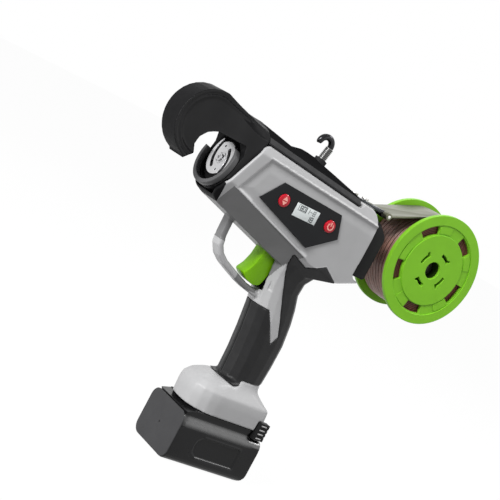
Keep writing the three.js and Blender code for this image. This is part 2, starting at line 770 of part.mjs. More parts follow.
function housingParts() {
  const whole = housing();
  const grip = cut(common(outerForm, gripPrism(gap)), innerForm(gripThickness));
  const screws = screwPlaces.map(([x, z], i) => {
    const seatY = bodyHalfWidth - panelRecess - screwSink + gap;
    const profile = [[0, 0], [screwShankRadius, 0], [screwShankRadius, seatY + bodyHalfWidth / 2],
      [screwHeadRadius, seatY + bodyHalfWidth / 2],
      [screwHeadRadius, seatY + bodyHalfWidth / 2 + screwHeadHeight],
      [0, seatY + bodyHalfWidth / 2 + screwHeadHeight]];
    const solid = alongY(lathe(profile, 10).translate(0, 0, -bodyHalfWidth / 2), x, z);
    return meshOf(`housing_screw_${i + 1}`, solid, finishes.darkSteel);
  });
  return [
    meshOf('housing_left', half(whole, -1), finishes.shell),
    meshOf('housing_right', half(whole, 1), finishes.shell),
    meshOf('grip_left', half(grip, -1), finishes.rubber),
    meshOf('grip_right', half(grip, 1), finishes.rubber),
    ...screws,
  ];
}

// Head: the hook, the neck and the snout in one casting
function headForm() {
  const arc = arcPoints(hookCentreX, hookCentreZ, hookRadius, degrees(85), degrees(250), 14);
  const throat = scaled(throatShares, hookCentreX, hookCentreZ, hookRadius, hookRadius);
  const plan = scaled(headPlanShares, hookCentreX - hookRadius, 0, hookRadius, headHalfWidth);
  const planLoop = [...plan, ...plan.map(([x, y]) => [x, -y]).reverse()];
  const hook = common(prism('xz', outline([...arc, ...throat]), -headHalfWidth, headHalfWidth),
    prism('xy', outline(planLoop), hookCentreZ - 2 * hookRadius, hookCentreZ + 2 * hookRadius));
  return joined(hook, onTwistAxis(prism('xy', outline(snoutOutline(snoutRadius, snoutRise)),
    -headRearDepth - overrun, bezelProud - bezelDepth - gap)));
}

const snoutOutline = (radius, top) => [[-radius, top], [radius, top],
  ...arcPoints(0, -snoutDrop, radius, 0, -Math.PI, 14)];

function headSolid() {
  const farX = hookCentreX - 2 * hookRadius;
  const [low, high, top] = [lipLow, lipHigh, topFront].map(([x, z]) => [x - gap, z]);
  const ahead = prism('xz', outline([[farX, bodyLowZ], [farX, 2 * hookCentreZ], [top[0], 2 * hookCentreZ],
    top, high, low, [low[0], bodyLowZ]]), -headHalfWidth - gap, headHalfWidth + gap);
  const socket = common(joined(bodyForm(housingWall + gap), bodyForm(housingWall + gap, noseShift)),
    onTwistAxis(prism('xy', outline(circlePoints(0, 0, bodyHeight, 8)), -headRearDepth, headRearDepth)));
  const body = common(headForm(), joined(ahead, socket));
  return cut(body,
    onTwistAxis(rod(rotorRecessRadius, -rotorRecessDepth, headRearDepth, 24)),
    onTwistAxis(rod(bearingRadius + gap, -headRearDepth - overrun, 0, 16)),
    onFeedLine(rod(feedTubeRadius + gap, feedRun.length() / 2, feedRun.length() + overrun, 12)),
    alongY(rod(guideRadius + guideThickness + gap, -guideHalfWidth - gap, guideHalfWidth + gap, 36),
      guideCentreX, guideCentreZ));
}

function headParts() {
  const bezelOuter = snoutOutline(snoutRadius, bezelRise);
  const bezelInner = snoutOutline(snoutRadius - bezelWidth, bezelRise + overrun);
  const bezelFace = bezelProud - bezelDepth;
  const bezel = cut(prism('xy', outline(bezelOuter), bezelFace, bezelProud),
    prism('xy', outline(bezelInner), bezelFace - overrun, bezelProud + overrun));
  const guide = outline([
    ...arcPoints(0, 0, guideRadius + guideThickness, guideStart, guideEnd, 14),
    ...arcPoints(0, 0, guideRadius, guideEnd, guideStart, 14)]);
  const plateZ = -rotorRecessDepth + gap;
  const bearingZ = plateZ - gap - shearPlateThickness / 2;
  const tubeEnd = feedRun.length();
  const drive = new THREE.Group();
  drive.applyMatrix4(rotorFrame);
  drive.add(
    meshOf('snout_bezel', bezel, finishes.satin),
    meshOf('shear_plate', pipe(rotorRecessRadius - gap, rotorShaftRadius + slideGap,
      plateZ, plateZ + shearPlateThickness, 18), finishes.steel),
    meshOf('rotor_bearing', pipe(bearingRadius, rotorShaftRadius + runningGap,
      bearingZ - bearingLength, bearingZ, 16), finishes.bronze),
    meshOf('twist_gearbox', cut(rod(gearboxRadius, -headRearDepth - gap - gearboxLength,
      -headRearDepth - gap, 16), rod(rotorShaftRadius + runningGap, -headRearDepth - 2 * overrun, 0, 16)),
    finishes.darkSteel),
    meshOf('twist_motor', rod(motorRadius, -headRearDepth - 2 * gap - gearboxLength - twistMotorLength,
      -headRearDepth - 2 * gap - gearboxLength, 16), finishes.steel),
    rotorParts());
  const jaw = new THREE.Group();
  const guideMesh = meshOf('hook_guide', prism('xz', guide, -guideHalfWidth, guideHalfWidth), finishes.steel);
  guideMesh.position.set(guideCentreX, 0, guideCentreZ);
  jaw.add(meshOf('head_casting', headSolid(), finishes.black), guideMesh,
    meshOf('feed_tube', onFeedLine(pipe(feedTubeRadius, feedTubeBore, feedTubeSetback, tubeEnd, 12)),
      finishes.steel));
  return [jaw, drive];
}

// Twist rotor: a disc with two spiral arms that catch the wire's ends
function rotorOutline() {
  const steps = 10;
  return [0, 1].flatMap((arm) => Array.from({ length: steps + 1 }, (_, i) => {
    const angle = rotorTipAngle - (arm + i / steps) * Math.PI;
    const radius = rotorTipRadius + (rotorDiscRadius - rotorTipRadius) * i / steps;
    return [-radius * Math.cos(angle), radius * Math.sin(angle)];
  }));
}

function spiralSlot(turn) {
  const steps = 8;
  const edge = (offset) => Array.from({ length: steps + 1 }, (_, i) => {
    const angle = rotorTipAngle + turn + rotorSlotMouth - (rotorSlotSweep + rotorSlotMouth) * i / steps;
    const radius = rotorSlotOuter + (rotorSlotInner - rotorSlotOuter) * i / steps + offset;
    return [-radius * Math.cos(angle), radius * Math.sin(angle)];
  });
  return [...edge(rotorSlotWidth / 2), ...edge(-rotorSlotWidth / 2).reverse()];
}

function rotorParts() {
  const disc = cut(prism('xy', outline(rotorOutline()), -rotorThickness, 0),
    ...[0, Math.PI].map((turn) => prism('xy', outline(spiralSlot(turn)), -rotorThickness - overrun, overrun)),
    rod(rotorScrewRadius + gap, -rotorThickness - overrun, overrun, 12));
  const shaftFront = -rotorThickness - gap;
  const screwTip = -rotorScrewLength;
  const shaft = cut(rod(rotorShaftRadius, shaftFront - rotorShaftLength, shaftFront, 16),
    rod(rotorScrewRadius + gap, screwTip - gap, 0, 12));
  const screw = lathe([[0, screwTip], [rotorScrewRadius, screwTip], [rotorScrewRadius, gap],
    [rotorScrewHead, gap], [rotorScrewHead, gap + rotorScrewHeadHeight],
    [0, gap + rotorScrewHeadHeight]], 16);
  const group = new THREE.Group();
  group.add(meshOf('twist_rotor', disc, finishes.steel), meshOf('rotor_shaft', shaft, finishes.steel),
    meshOf('rotor_screw', screw, finishes.darkSteel));
  return group;
}

// Feed unit: a driven roller, a pinch roller on a sprung lever, and their frame
function gearOutline(teeth, turn) {
  const root = gearModule * (teeth / 2 - 1.25);
  const tip = gearModule * (teeth / 2 + 1);
  const pitch = 2 * Math.PI / teeth;
  return Array.from({ length: teeth }, (_, i) => turn + i * pitch).flatMap((angle) => [
    [root, angle - toothRootShare * pitch], [tip, angle - toothTipShare * pitch],
    [tip, angle + toothTipShare * pitch], [root, angle + toothRootShare * pitch],
  ]).map(([radius, angle]) => [radius * Math.cos(angle), radius * Math.sin(angle)]);
}

const feedAxle = offFeedLine(-feedRollerRadius - wireRadius);
const pinchAxle = offFeedLine(pinchRollerRadius + wireRadius);
const gearReach = gearModule * (feedGearTeeth + pinionTeeth) / 2;
const feedMotorZ = feedAxle[1] - Math.sqrt(gearReach ** 2 - (feedMotorX - feedAxle[0]) ** 2);

function feedParts() {
  const meshAngle = Math.atan2(feedMotorZ - feedAxle[1], feedMotorX - feedAxle[0]);
  const gearTurn = meshAngle + Math.PI / feedGearTeeth;
  const plateOuter = frameHalfWidth + framePlate;
  const gearOuterY = gearInnerY + gearWidth;
  const gear = joined(
    prism('xz', outline(gearOutline(feedGearTeeth, gearTurn)), gearInnerY, gearOuterY),
    alongY(rod(feedShaftRadius, -plateOuter - gap, gearInnerY + gap, 14)));
  const roller = alongY(pipe(feedRollerRadius, feedShaftRadius + gap, -rollerHalfWidth, rollerHalfWidth, 16));
  const pinion = joined(
    prism('xz', outline(gearOutline(pinionTeeth, meshAngle + Math.PI)), gearInnerY, gearOuterY),
    alongY(rod(motorShaftRadius, frameHalfWidth, gearInnerY + gap, 12)));
  const drivePlate = outline(scaled(drivePlateShares, nipX, nipZ, frameHeight, frameHeight));
  const idlePlate = outline(scaled(idlePlateShares, nipX, nipZ, frameHeight, frameHeight));
  const bridge = box(nipX + bridgeShares.front * frameHeight, nipX + bridgeShares.rear * frameHeight,
    -frameHalfWidth - gap, frameHalfWidth + gap,
    nipZ - bridgeShares.low * frameHeight, nipZ - bridgeShares.high * frameHeight);
  const frame = cut(joined(prism('xz', drivePlate, frameHalfWidth, plateOuter),
    prism('xz', idlePlate, -plateOuter, -frameHalfWidth), bridge),
  alongY(rod(feedShaftRadius + runningGap, -2 * plateOuter, 2 * plateOuter, 14), ...feedAxle),
  alongY(rod(motorShaftRadius + slideGap, 0, 2 * plateOuter, 14), feedMotorX, feedMotorZ),
  alongY(rod(leverPinRadius + runningGap, 0, 2 * plateOuter, 12), leverPivotX, leverPivotZ));
  const motorFace = frameHalfWidth - gap;
  const lever = joined(leverArm(leverInnerY),
    alongY(rod(leverPinRadius, leverInnerY, plateOuter - gap, 12), leverPivotX, leverPivotZ),
    alongY(rod(leverPinRadius, -rollerHalfWidth, leverInnerY + gap, 12), ...pinchAxle));
  const group = new THREE.Group();
  group.add(meshOf('feed_frame', frame, finishes.steel),
    meshOf('feed_motor', alongY(rod(motorRadius, motorFace - feedMotorLength, motorFace, 16),
      feedMotorX, feedMotorZ), finishes.steel),
    meshOf('pinch_lever', lever, finishes.darkSteel));
  group.add(placed(meshOf('feed_gear', gear, finishes.gear), ...feedAxle),
    placed(meshOf('feed_roller', roller, finishes.steel), ...feedAxle),
    placed(meshOf('feed_pinion', pinion, finishes.gear), feedMotorX, feedMotorZ),
    placed(meshOf('pinch_roller', alongY(pipe(pinchRollerRadius, leverPinRadius + runningGap,
      -rollerHalfWidth, rollerHalfWidth, 12)), finishes.steel), ...pinchAxle));
  return [group];
}

function placed(mesh, x, z) {
  mesh.position.set(x, 0, z);
  return mesh;
}

function leverArm(innerY) {
  const [dx, dz] = [pinchAxle[0] - leverPivotX, pinchAxle[1] - leverPivotZ];
  const angle = Math.atan2(dz, dx);
  const right = Math.PI / 2;
  return prism('xz', outline([
    ...arcPoints(leverPivotX, leverPivotZ, leverWidth / 2, angle + right, angle + 3 * right, 6),
    ...arcPoints(...pinchAxle, leverWidth / 2, angle - right, angle + right, 6),
  ]), innerY, innerY + leverThickness);
}

// Wire spool: two snapped halves, the wire's core and its outer layer
function spoolHalf(side) {
  const flange = outline(circlePoints(0, 0, flangeRadius, flangeSides));
  const ringOuter = flangeRadius - flangeRimWidth;
  const ringInner = flangeSlotInner - gap;
  const holes = [circlePoints(0, 0, spoolBoreRadius, boreSides)];
  for (let i = 0; i < flangeSlotCount; i += 1) {
    const start = flangeSlotStart + i * 2 * Math.PI / flangeSlotCount;
    holes.push(arcSlot(flangeSlotOuter, flangeSlotInner, start, flangeSlotAngle, 3));
  }
  for (let i = 0; i < smallSlotCount; i += 1) {
    const start = smallSlotStart + i * 2 * Math.PI / smallSlotCount;
    holes.push(arcSlot(smallSlotRadius + smallSlotWidth / 2, smallSlotRadius - smallSlotWidth / 2,
      start, smallSlotAngle, 2));
  }
  flange.holes = holes.map((points) => outline(points));
  const outerY = flangeInnerY + flangeThickness;
  const spread = side > 0 ? [flangeInnerY, outerY] : [-outerY, -flangeInnerY];
  const groove = side > 0 ? [outerY - flangeRelief, outerY + overrun]
    : [-outerY - overrun, -outerY + flangeRelief];
  const hub = side > 0 ? [gap / 2, flangeInnerY + flangeRelief] : [-flangeInnerY - flangeRelief, -gap / 2];
  return cut(joined(prism('xz', flange, ...spread),
    alongY(pipe(hubRadius, hubRadius - hubWall, ...hub, hubSides)),
    alongY(pipe(spoolBossRadius, spoolBoreRadius, ...hub, boreSides))),
  alongY(pipe(ringOuter, ringInner, ...groove, flangeSides)));
}

function windingPoints() {
  const points = [];
  const steps = windingLoops * loopSteps;
  for (let i = 0; i <= steps; i += 1) {
    const angle = 2 * Math.PI * i / loopSteps;
    points.push(new THREE.Vector3(windingRadius * Math.cos(angle),
      windingPitch * (i / loopSteps - windingLoops / 2), windingRadius * Math.sin(angle)));
  }
  const tail = (end, next) => end.clone().add(end.clone().sub(next).setLength(2 * wireRadius));
  points.unshift(tail(points[0], points[1]));
  points.push(tail(points[steps + 1], points[steps]));
  return points;
}

function windingForm() {
  const points = windingPoints();
  const rings = points.map((point, i) => {
    const next = points[Math.min(i + 1, points.length - 1)];
    const along = next.clone().sub(points[Math.max(i - 1, 0)]).normalize();
    const out = new THREE.Vector3(point.x, 0, point.z).normalize();
    const across = new THREE.Vector3().crossVectors(along, out).normalize();
    return circlePoints(0, 0, wireRadius, wireSides).map(([x, y]) =>
      point.clone().addScaledVector(out, x).addScaledVector(across, y));
  });
  console.log(`winding: least gap to itself ${leastGap(rings).toFixed(3)} mm`);
  return loft(rings);
}

// Least distance between surface points more than half a loop apart
function leastGap(rings) {
  let least = Infinity;
  rings.forEach((ring, i) => {
    const reach = Math.min(rings.length, i + 2 * loopSteps);
    for (let j = i + loopSteps / 2; j < reach; j += 1) {
      ring.forEach((a) => rings[j].forEach((b) => {
        least = Math.min(least, a.distanceTo(b));
      }));
    }
  });
  return least;
}

function spoolParts() {
  const coreRadius = (windingRadius * Math.cos(Math.PI / loopSteps) - wireRadius - gap);
  const coreHalf = flangeInnerY - gap;
  const group = new THREE.Group();
  group.position.set(spoolCentreX, 0, spoolCentreZ);
  group.add(meshOf('spool_near_half', spoolHalf(-1), finishes.green),
    meshOf('spool_far_half', spoolHalf(1), finishes.green),
    meshOf('wire_core', alongY(pipe(coreRadius, hubRadius + gap, -coreHalf, coreHalf, loopSteps)),
      finishes.wire),
    meshOf('wire_winding', windingForm(), finishes.wire));
  return [group];
}

// Rear cover, spool arm and shaft, wire inlet
const rearCoverX = bodyRearX + gap;
const rearCoverLowZ = rearLow[1] + rearCoverLift;
const rearCoverTopZ = rearHigh[1] + rearCoverOver;
const armInnerY = flangeInnerY + flangeThickness + armGap;

function rearCoverOutline(depth) {
  const [x0, x1] = [rearCoverX, rearCoverX + rearCoverDepth - depth];
  const [z0, z1] = [rearCoverLowZ + depth, rearCoverTopZ - depth];
  return [[x0, z0], [x0, z1], [x0 + rearCoverDepth / 4, z1], [x1, z1 - rearCoverSlant], [x1, z0]];
}

function rearParts() {
  const rootZ = nipZ - rearCoverDepth;
  const rootX = rearCoverX + rearCoverDepth / 4;
  const armOuterY = armInnerY + armThickness;
  const screwZs = [rootZ - armRootHeight / 4, rootZ + armRootHeight / 4];
  const screwX = rootX + armRootLength / 2;
  const screwTipY = rearCoverHalfWidth - rearCoverWall - overrun;
  const screwHoles = screwZs.map((z) => alongY(rod(armScrewRadius + gap, screwTipY, armOuterY + overrun, 10),
    screwX, z));
  const innerHalf = rearCoverHalfWidth - rearCoverWall;
  const [outer, inner] = [0, rearCoverWall].map((depth) => outline(rearCoverOutline(depth), bodyCorner));
  const shell = cut(prism('xz', outer, -rearCoverHalfWidth, rearCoverHalfWidth),
    prism('xz', inner, -innerHalf, innerHalf),
    box(rearCoverX - overrun, rearCoverX + rearCoverWall, -innerHalf, innerHalf,
      rearCoverLowZ + 2 * rearCoverWall, rearCoverTopZ - 2 * rearCoverWall),
    onFeedLine(rod(inletRadius + gap, -bodyLength, 0, 16)), ...screwHoles);
  const rootHalf = armRootHeight / 2;
  const armOutline = outline([[rootX, rootZ - rootHalf], [rootX, rootZ + rootHalf],
    [rootX + armRootLength, rootZ + rootHalf],
    ...arcPoints(spoolCentreX, spoolCentreZ, armEndRadius, degrees(100), degrees(-80), 10),
    [rootX + armRootLength, rootZ - rootHalf]]);
  const arm = cut(joined(prism('xz', armOutline, armInnerY, armOuterY),
    box(rootX, rootX + armRootLength, rearCoverHalfWidth + gap, armInnerY + gap,
      rootZ - rootHalf, rootZ + rootHalf)),
  ...screwHoles,
  alongY(rod(armSpigotRadius + gap, armInnerY - overrun, armOuterY + overrun, 16),
    spoolCentreX, spoolCentreZ));
  const shaftTip = -flangeInnerY - flangeThickness + spoolShaftRecess;
  const shaft = lathe([[0, shaftTip], [spoolShaftRadius, shaftTip], [spoolShaftRadius, armInnerY - gap],
    [armSpigotRadius, armInnerY - gap], [armSpigotRadius, armOuterY], [0, armOuterY]], 20);
  const mouthZ = (rearCoverX + rearCoverDepth - nipX) / feedAhead.x - inletStandoff;
  const inlet = lathe([[inletBore, mouthZ - inletMouthDepth], [inletMouthRadius, mouthZ - inletMouthDepth],
    [inletMouthRadius, mouthZ], [inletRadius, mouthZ], [inletRadius, -inletSetback],
    [inletBore, -inletSetback], [inletBore, mouthZ - inletMouthDepth]], 12);
  const screws = screwZs.map((z, i) => meshOf(`arm_screw_${i + 1}`, alongY(lathe([[0, screwTipY],
    [armScrewRadius, screwTipY], [armScrewRadius, armOuterY + gap], [screwHeadRadius, armOuterY + gap],
    [screwHeadRadius, armOuterY + gap + screwHeadHeight], [0, armOuterY + gap + screwHeadHeight]], 10),
  screwX, z), finishes.darkSteel));
  return [
    meshOf('rear_cover', shell, finishes.black), meshOf('spool_arm', arm, finishes.black),
    meshOf('spool_shaft', alongY(shaft, spoolCentreX, spoolCentreZ), finishes.steel),
    meshOf('wire_inlet', onFeedLine(inlet), finishes.steel), ...screws,
  ];
}

// Pressure plate over the spool and its bracket
const deckZ = deckFront[1] + gap;
const hingeZ = deckZ - hingeDrop;

function plateParts() {
  const deckFrontX = deckFront[0] + bodyCorner;
  const deckRearX = deckRear[0] - bodyCorner;
  const plateRadius = windingRadius + wireRadius + gap + plateThickness / 2;
  const toSpool = new THREE.Vector2(spoolCentreX - hingeX, spoolCentreZ - hingeZ);
  const lift = toSpool.angle() + Math.asin(plateRadius / toSpool.length());
  const touchAngle = lift + Math.PI / 2;
  const wrapEnd = touchAngle - plateWrapAngle;
  const halfPlate = plateThickness / 2;
  const startX = hingeX + knuckleRadius * Math.cos(lift) / 2;
  const startZ = hingeZ + knuckleRadius * Math.sin(lift) / 2;
  const side = [-Math.sin(lift), Math.cos(lift)];
  const strip = outline([
    [startX - side[0] * halfPlate, startZ - side[1] * halfPlate],
    [startX + side[0] * halfPlate, startZ + side[1] * halfPlate],
    ...arcPoints(spoolCentreX, spoolCentreZ, plateRadius + halfPlate, touchAngle, wrapEnd, 8),
    ...arcPoints(spoolCentreX, spoolCentreZ, plateRadius - halfPlate, wrapEnd, touchAngle, 8),
  ]);
  const pinRoom = (from, to) => alongY(rod(hingePinRadius + runningGap, from, to, 12), hingeX, hingeZ);
  const middle = knuckleHalfWidth + gap;
  const plate = cut(joined(prism('xz', strip, -plateHalfWidth, plateHalfWidth),
    alongY(rod(knuckleRadius, -plateHalfWidth, plateHalfWidth, 14), hingeX, hingeZ)),
  box(hingeX - 2 * knuckleRadius, hingeX + 2 * knuckleRadius, -middle, middle,
    hingeZ - 2 * knuckleRadius, hingeZ + 2 * knuckleRadius),
  pinRoom(-plateHalfWidth - gap, plateHalfWidth + gap));
  const strap = outline([[deckFrontX, deckZ], [deckFrontX, deckZ + bracketThickness],
    [deckRearX, deckZ + bracketThickness], [hingeX, hingeZ + bracketThickness / 2],
    [hingeX, hingeZ - bracketThickness / 2], [deckRearX, deckZ]]);
  const bracket = cut(joined(prism('xz', strap, -bracketHalfWidth, bracketHalfWidth),
    alongY(rod(knuckleRadius, -knuckleHalfWidth, knuckleHalfWidth, 14), hingeX, hingeZ)),
  ...[-1, 1].map((sign) => sideBox(sign, hingeX - 1.5 * knuckleRadius, hingeX + 2 * knuckleRadius,
    knuckleHalfWidth, bracketHalfWidth + gap, hingeZ - 2 * knuckleRadius, hingeZ + 2 * knuckleRadius)),
  ...[-1, 1].map((sign) => rod(screwShankRadius + gap, deckZ - overrun, deckZ + overrun, 12)
    .translate(bracketScrewX, sign * bracketScrewY, 0)),
  pinRoom(-bracketHalfWidth, bracketHalfWidth));
  const screwTop = deckZ + bracketThickness + gap;
  const screws = [-1, 1].map((sign, i) => meshOf(`bracket_screw_${i + 1}`, lathe([
    [0, deckZ], [screwShankRadius, deckZ], [screwShankRadius, screwTop], [screwHeadRadius, screwTop],
    [screwHeadRadius, screwTop + screwHeadHeight], [0, screwTop + screwHeadHeight]], 10)
    .translate(bracketScrewX, sign * bracketScrewY, 0), finishes.steel));
  return [
    meshOf('pressure_plate', plate, finishes.steel), meshOf('plate_bracket', bracket, finishes.darkSteel),
    meshOf('plate_pin', alongY(rod(hingePinRadius, -plateHalfWidth - gap, plateHalfWidth + gap, 12),
      hingeX, hingeZ), finishes.steel), ...screws,
  ];
}

// Top cover with the hanging hook
function coverForm(depth) {
  const run = new THREE.Vector3(topFront[0] - topRear[0], 0, topFront[1] - topRear[1]);
  const ahead = run.clone().normalize();
  const up = new THREE.Vector3(ahead.z, 0, -ahead.x);
  const base = depth > 0 ? -overrun : gap;
  const archHalf = coverArchShares.map(([y, z]) => [y * coverHalfWidth, z * bodyHeight]);
  const arch = [[coverHalfWidth, base], ...archHalf,
    ...archHalf.slice(0, -1).map(([y, z]) => [-y, z]).reverse(), [-coverHalfWidth, base]];
  const geometry = new THREE.ExtrudeGeometry(outline(inset(arch, depth)), {
    depth: run.length() + coverTailLength, bevelEnabled: false,
  }).translate(0, 0, -coverTailLength)
    .applyMatrix4(new THREE.Matrix4().makeBasis(sideways, up, ahead).setPosition(topRear[0], 0, topRear[1]));
  const crest = onBody(coverCrestShares);
  const side = inset(crest, depth).map(([x, z], i) => [x, depth > 0 && i > 5 ? z - 2 * overrun : z]);
  return common(geometry, prism('xz', outline(side), -bodyHalfWidth, bodyHalfWidth));
}

function hangerPath() {
  const bend = arcPoints(hangerBend, hangerStem, hangerBend, Math.PI, degrees(-20), 14);
  const points = [[0, -hangerTail], [0, hangerStem / 2], ...bend];
  return new THREE.CatmullRomCurve3(points.map(([x, y]) => new THREE.Vector3(0, y, x)), false, 'centripetal');
}

function topParts() {
  const hanger = new THREE.Matrix4().makeBasis(sideways, rising, forward)
    .setPosition(hangerFoot[0], 0, hangerFoot[1]);
  const standing = (geometry) => geometry.rotateX(-Math.PI / 2).applyMatrix4(hanger);
  const bar = new THREE.ExtrudeGeometry(outline(circlePoints(0, 0, hangerBarRadius, 8)),
    { steps: 14, extrudePath: hangerPath() }).applyMatrix4(hanger);
  const collar = standing(rod(hangerCollarRadius, gap, gap + hangerCollarHeight, 16));
  const cover = cut(joined(coverForm(0), standing(rod(hangerBossRadius, -hangerBossDepth, 0, 16))),
    coverForm(coverWall),
    standing(rod(hangerBarRadius + gap, -2 * hangerTail, hangerTail, 12)));
  return [
    meshOf('top_cover', cover, finishes.black),
    meshOf('hanging_hook', joined(bar, collar), finishes.darkSteel),
  ];
}

// Control panel, display, buttons and circuit board
function controlParts() {
  const faceY = -bodyHalfWidth + panelRecess - gap;
  const outerY = faceY - panelThickness;
  const places = { mode_button: modeButton, power_button: powerButton };
  const panel = cut(prism('xz', outline(onBody(panelShares), panelCorner), outerY, faceY),
    ...Object.values(places).map(([x, z]) =>
      alongY(rod(buttonRadius + slideGap, outerY - overrun, faceY + overrun, 14), x, z)),
    displayBox(gap, outerY - overrun, faceY + overrun));
  const boardFace = boardY - boardThickness;
  const [boardX, boardZ] = displayCentre;
  const board = joined(
    box(boardX - boardLength / 2, boardX + boardLength / 2, boardFace, boardY,
      boardZ - boardHeight / 2, boardZ + boardHeight / 2),
    ...Object.values(places).map(([x, z]) => box(x - tactSize / 2, x + tactSize / 2,
      boardFace - tactHeight, boardFace + gap, z - tactSize / 2, z + tactSize / 2)));
  const stemTip = boardFace - tactHeight - buttonTravel - runningGap;
  const buttons = Object.entries(places).map(([name, [x, z]]) => meshOf(name, alongY(lathe([
    [0, outerY - buttonProud], [buttonRadius - buttonChamfer, outerY - buttonProud],
    [buttonRadius, outerY - buttonProud + buttonChamfer], [buttonRadius, faceY - buttonTravel + runningGap],
    [buttonStemRadius, faceY - buttonTravel + runningGap], [buttonStemRadius, stemTip], [0, stemTip]], 14),
  x, z), finishes.red));
  return [
    meshOf('control_panel', panel, finishes.black),
    meshOf('display', displayBox(0, outerY, boardFace - gap), finishes.screen),
    meshOf('circuit_board', board, finishes.board), ...buttons,
  ];
}

// Trigger, its pin and its switch
function triggerParts() {
  const profile = scaled(triggerShares, triggerPivotX, triggerPivotZ, triggerHeight, triggerHeight);
  const shape = outline(profile, triggerCorner);
  const trigger = cut(prism('xz', shape, -triggerHalfWidth, triggerHalfWidth),
    alongY(rod(triggerPinRadius + runningGap, -2 * triggerHalfWidth, 2 * triggerHalfWidth, 12),
      triggerPivotX, triggerPivotZ));
  const pinHalf = pocketHalfWidth + cheekThickness;
  const frontX = switchX - switchLength;
  const body = joined(
    box(frontX, switchX, -switchHalfWidth, switchHalfWidth,
      switchZ - switchHeight / 2, switchZ + switchHeight / 2),
    rod(plungerRadius, 0, plungerLength + gap, 12).rotateY(-Math.PI / 2)
      .translate(frontX + gap, 0, switchZ));
  return [
    meshOf('trigger', trigger, finishes.green),
    meshOf('trigger_pin', alongY(rod(triggerPinRadius, -pinHalf, pinHalf, 12), triggerPivotX, triggerPivotZ),
      finishes.steel),
    meshOf('trigger_switch', body, finishes.black),
  ];
}

// Battery pack
function batteryForm(depth) {
  const [x, y] = [batteryLength / 2 - depth, batteryWidth / 2 - depth];
  const top = batteryHeight - depth;
  const ends = [[-y, depth], [-y, top], [y, top], [y, depth]];
  const sides = outline([[-x, depth], [-x, top], [x, top], [x, depth + batteryHeel],
    [x - batteryHeel / 3, depth + batteryHeel / 3], [x - batteryHeel, depth]]);
  return common(prism('yz', outline(ends, batteryCorner - depth), -x, x, 5), prism('xz', sides, -y, y));
}

function batteryParts() {
  const [x, y] = [batteryLength / 2, batteryWidth / 2];
  const lidZ = batterySplitZ + gap;
  const below = box(-x - overrun, x + overrun, -y - overrun, y + overrun, -overrun, batterySplitZ);
  const above = box(-x - overrun, x + overrun, -y - overrun, y + overrun, lidZ, batteryHeight + overrun);
  const recess = (side) => sideBox(side, -recessShares.front * x, recessShares.rear * x,
    y - batteryRecessDepth, y + overrun, recessShares.low * batteryHeight, recessShares.high * batteryHeight);
  const tray = cut(common(batteryForm(0), below), batteryForm(batteryWall), recess(1), recess(-1));
  const deckZ = batteryHeight + deckHeight;
  const bladeRoom = (side) => sideBox(side, railFrontX - overrun, railFrontX + bladeLength + slideGap,
    bladeY - slideGap, bladeY + bladeThickness + slideGap, deckZ + slideGap, railTopZ + overrun);
  const stemZ = batteryHeight + deckHeight / 2;
  const stemX = latchFrontX + latchStemSize;
  const stemRoom = (side) => sideBox(side, stemX - slideGap, stemX + latchStemSize + slideGap,
    latchInnerY - latchStemLength - latchTravel - slideGap, y, stemZ - latchStemSize / 2 - gap,
    stemZ + latchStemSize / 2 + gap);
  const lid = cut(joined(cut(common(batteryForm(0), above), batteryForm(batteryWall)),
    box(-x + deckInset / 2, x - deckInset / 2, deckInset - y, y - deckInset, batteryHeight - gap, deckZ),
    prism('yz', railOutline(0), railFrontX, railRearX)),
  ...[1, -1].flatMap((side) => [latchRoom(side), bladeRoom(side), stemRoom(side)]));
  const cellZ = batteryWall + gap + cellRadius;
  const upperZ = cellZ + cellPitch * Math.sqrt(0.75);
  const cells = [[-1, cellZ], [0, cellZ], [1, cellZ], [-0.5, upperZ], [0.5, upperZ]].map(([column, z], i) =>
    meshOf(`battery_cell_${i + 1}`, rod(cellRadius, -cellLength / 2, cellLength / 2, 12)
      .rotateY(Math.PI / 2).translate(0, column * cellPitch, z), finishes.cell));
  return [
    meshOf('battery_case', tray, finishes.black), meshOf('battery_lid', lid, finishes.black), ...cells,
    meshOf('battery_latch_left', latch(-1), finishes.black),
    meshOf('battery_latch_right', latch(1), finishes.black),
    meshOf('foot_terminals', footTerminals(), finishes.black),
  ];
}

function latch(side) {
  const [x0, x1] = [latchFrontX, latchFrontX + latchLength - gap];
  const [z0, z1] = [batteryHeight + gap, batteryHeight + latchHeight];
  const stemX = latchFrontX + latchStemSize;
  const stemZ = batteryHeight + deckHeight / 2;
  const ribs = [1, 2, 3].map((i) => sideBox(side, x0 + latchLength / 3, x1 + overrun,
    latchFaceY - latchRibDepth, latchFaceY + overrun,
    z0 + i * latchRibPitch, z0 + i * latchRibPitch + latchRibGroove));
  return joined(cut(sideBox(side, x0, x1, latchInnerY, latchFaceY, z0, z1), ...ribs),
    sideBox(side, stemX, stemX + latchStemSize, latchInnerY - latchStemLength, latchInnerY + gap,
      stemZ - latchStemSize / 2, stemZ + latchStemSize / 2));
}

function footTerminals() {
  const frontX = railFrontX - terminalDepth;
  const blades = [-1, 1].map((side) => sideBox(side, railFrontX - 2 * slideGap, railFrontX + bladeLength,
    bladeY, bladeY + bladeThickness, railTopZ - bladeHeight, railTopZ - gap));
  const block = common(prism('yz', railOutline(0), frontX, railFrontX - slideGap),
    box(frontX, railFrontX, -footWidth, footWidth, footBaseZ + slideGap, railTopZ));
  return joined(block, ...blades);
}

const tool = new THREE.Group();
tool.add(...housingParts(), ...headParts(), ...feedParts(), ...spoolParts(), ...rearParts(),
  ...plateParts(), ...topParts(), ...controlParts(), ...triggerParts(), ...batteryParts());

export default tool;
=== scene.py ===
import json
from contextlib import contextmanager
from math import cos, hypot, pi, radians, sin

import bmesh
import bpy
from mathutils import Matrix, Vector

import numpy as np


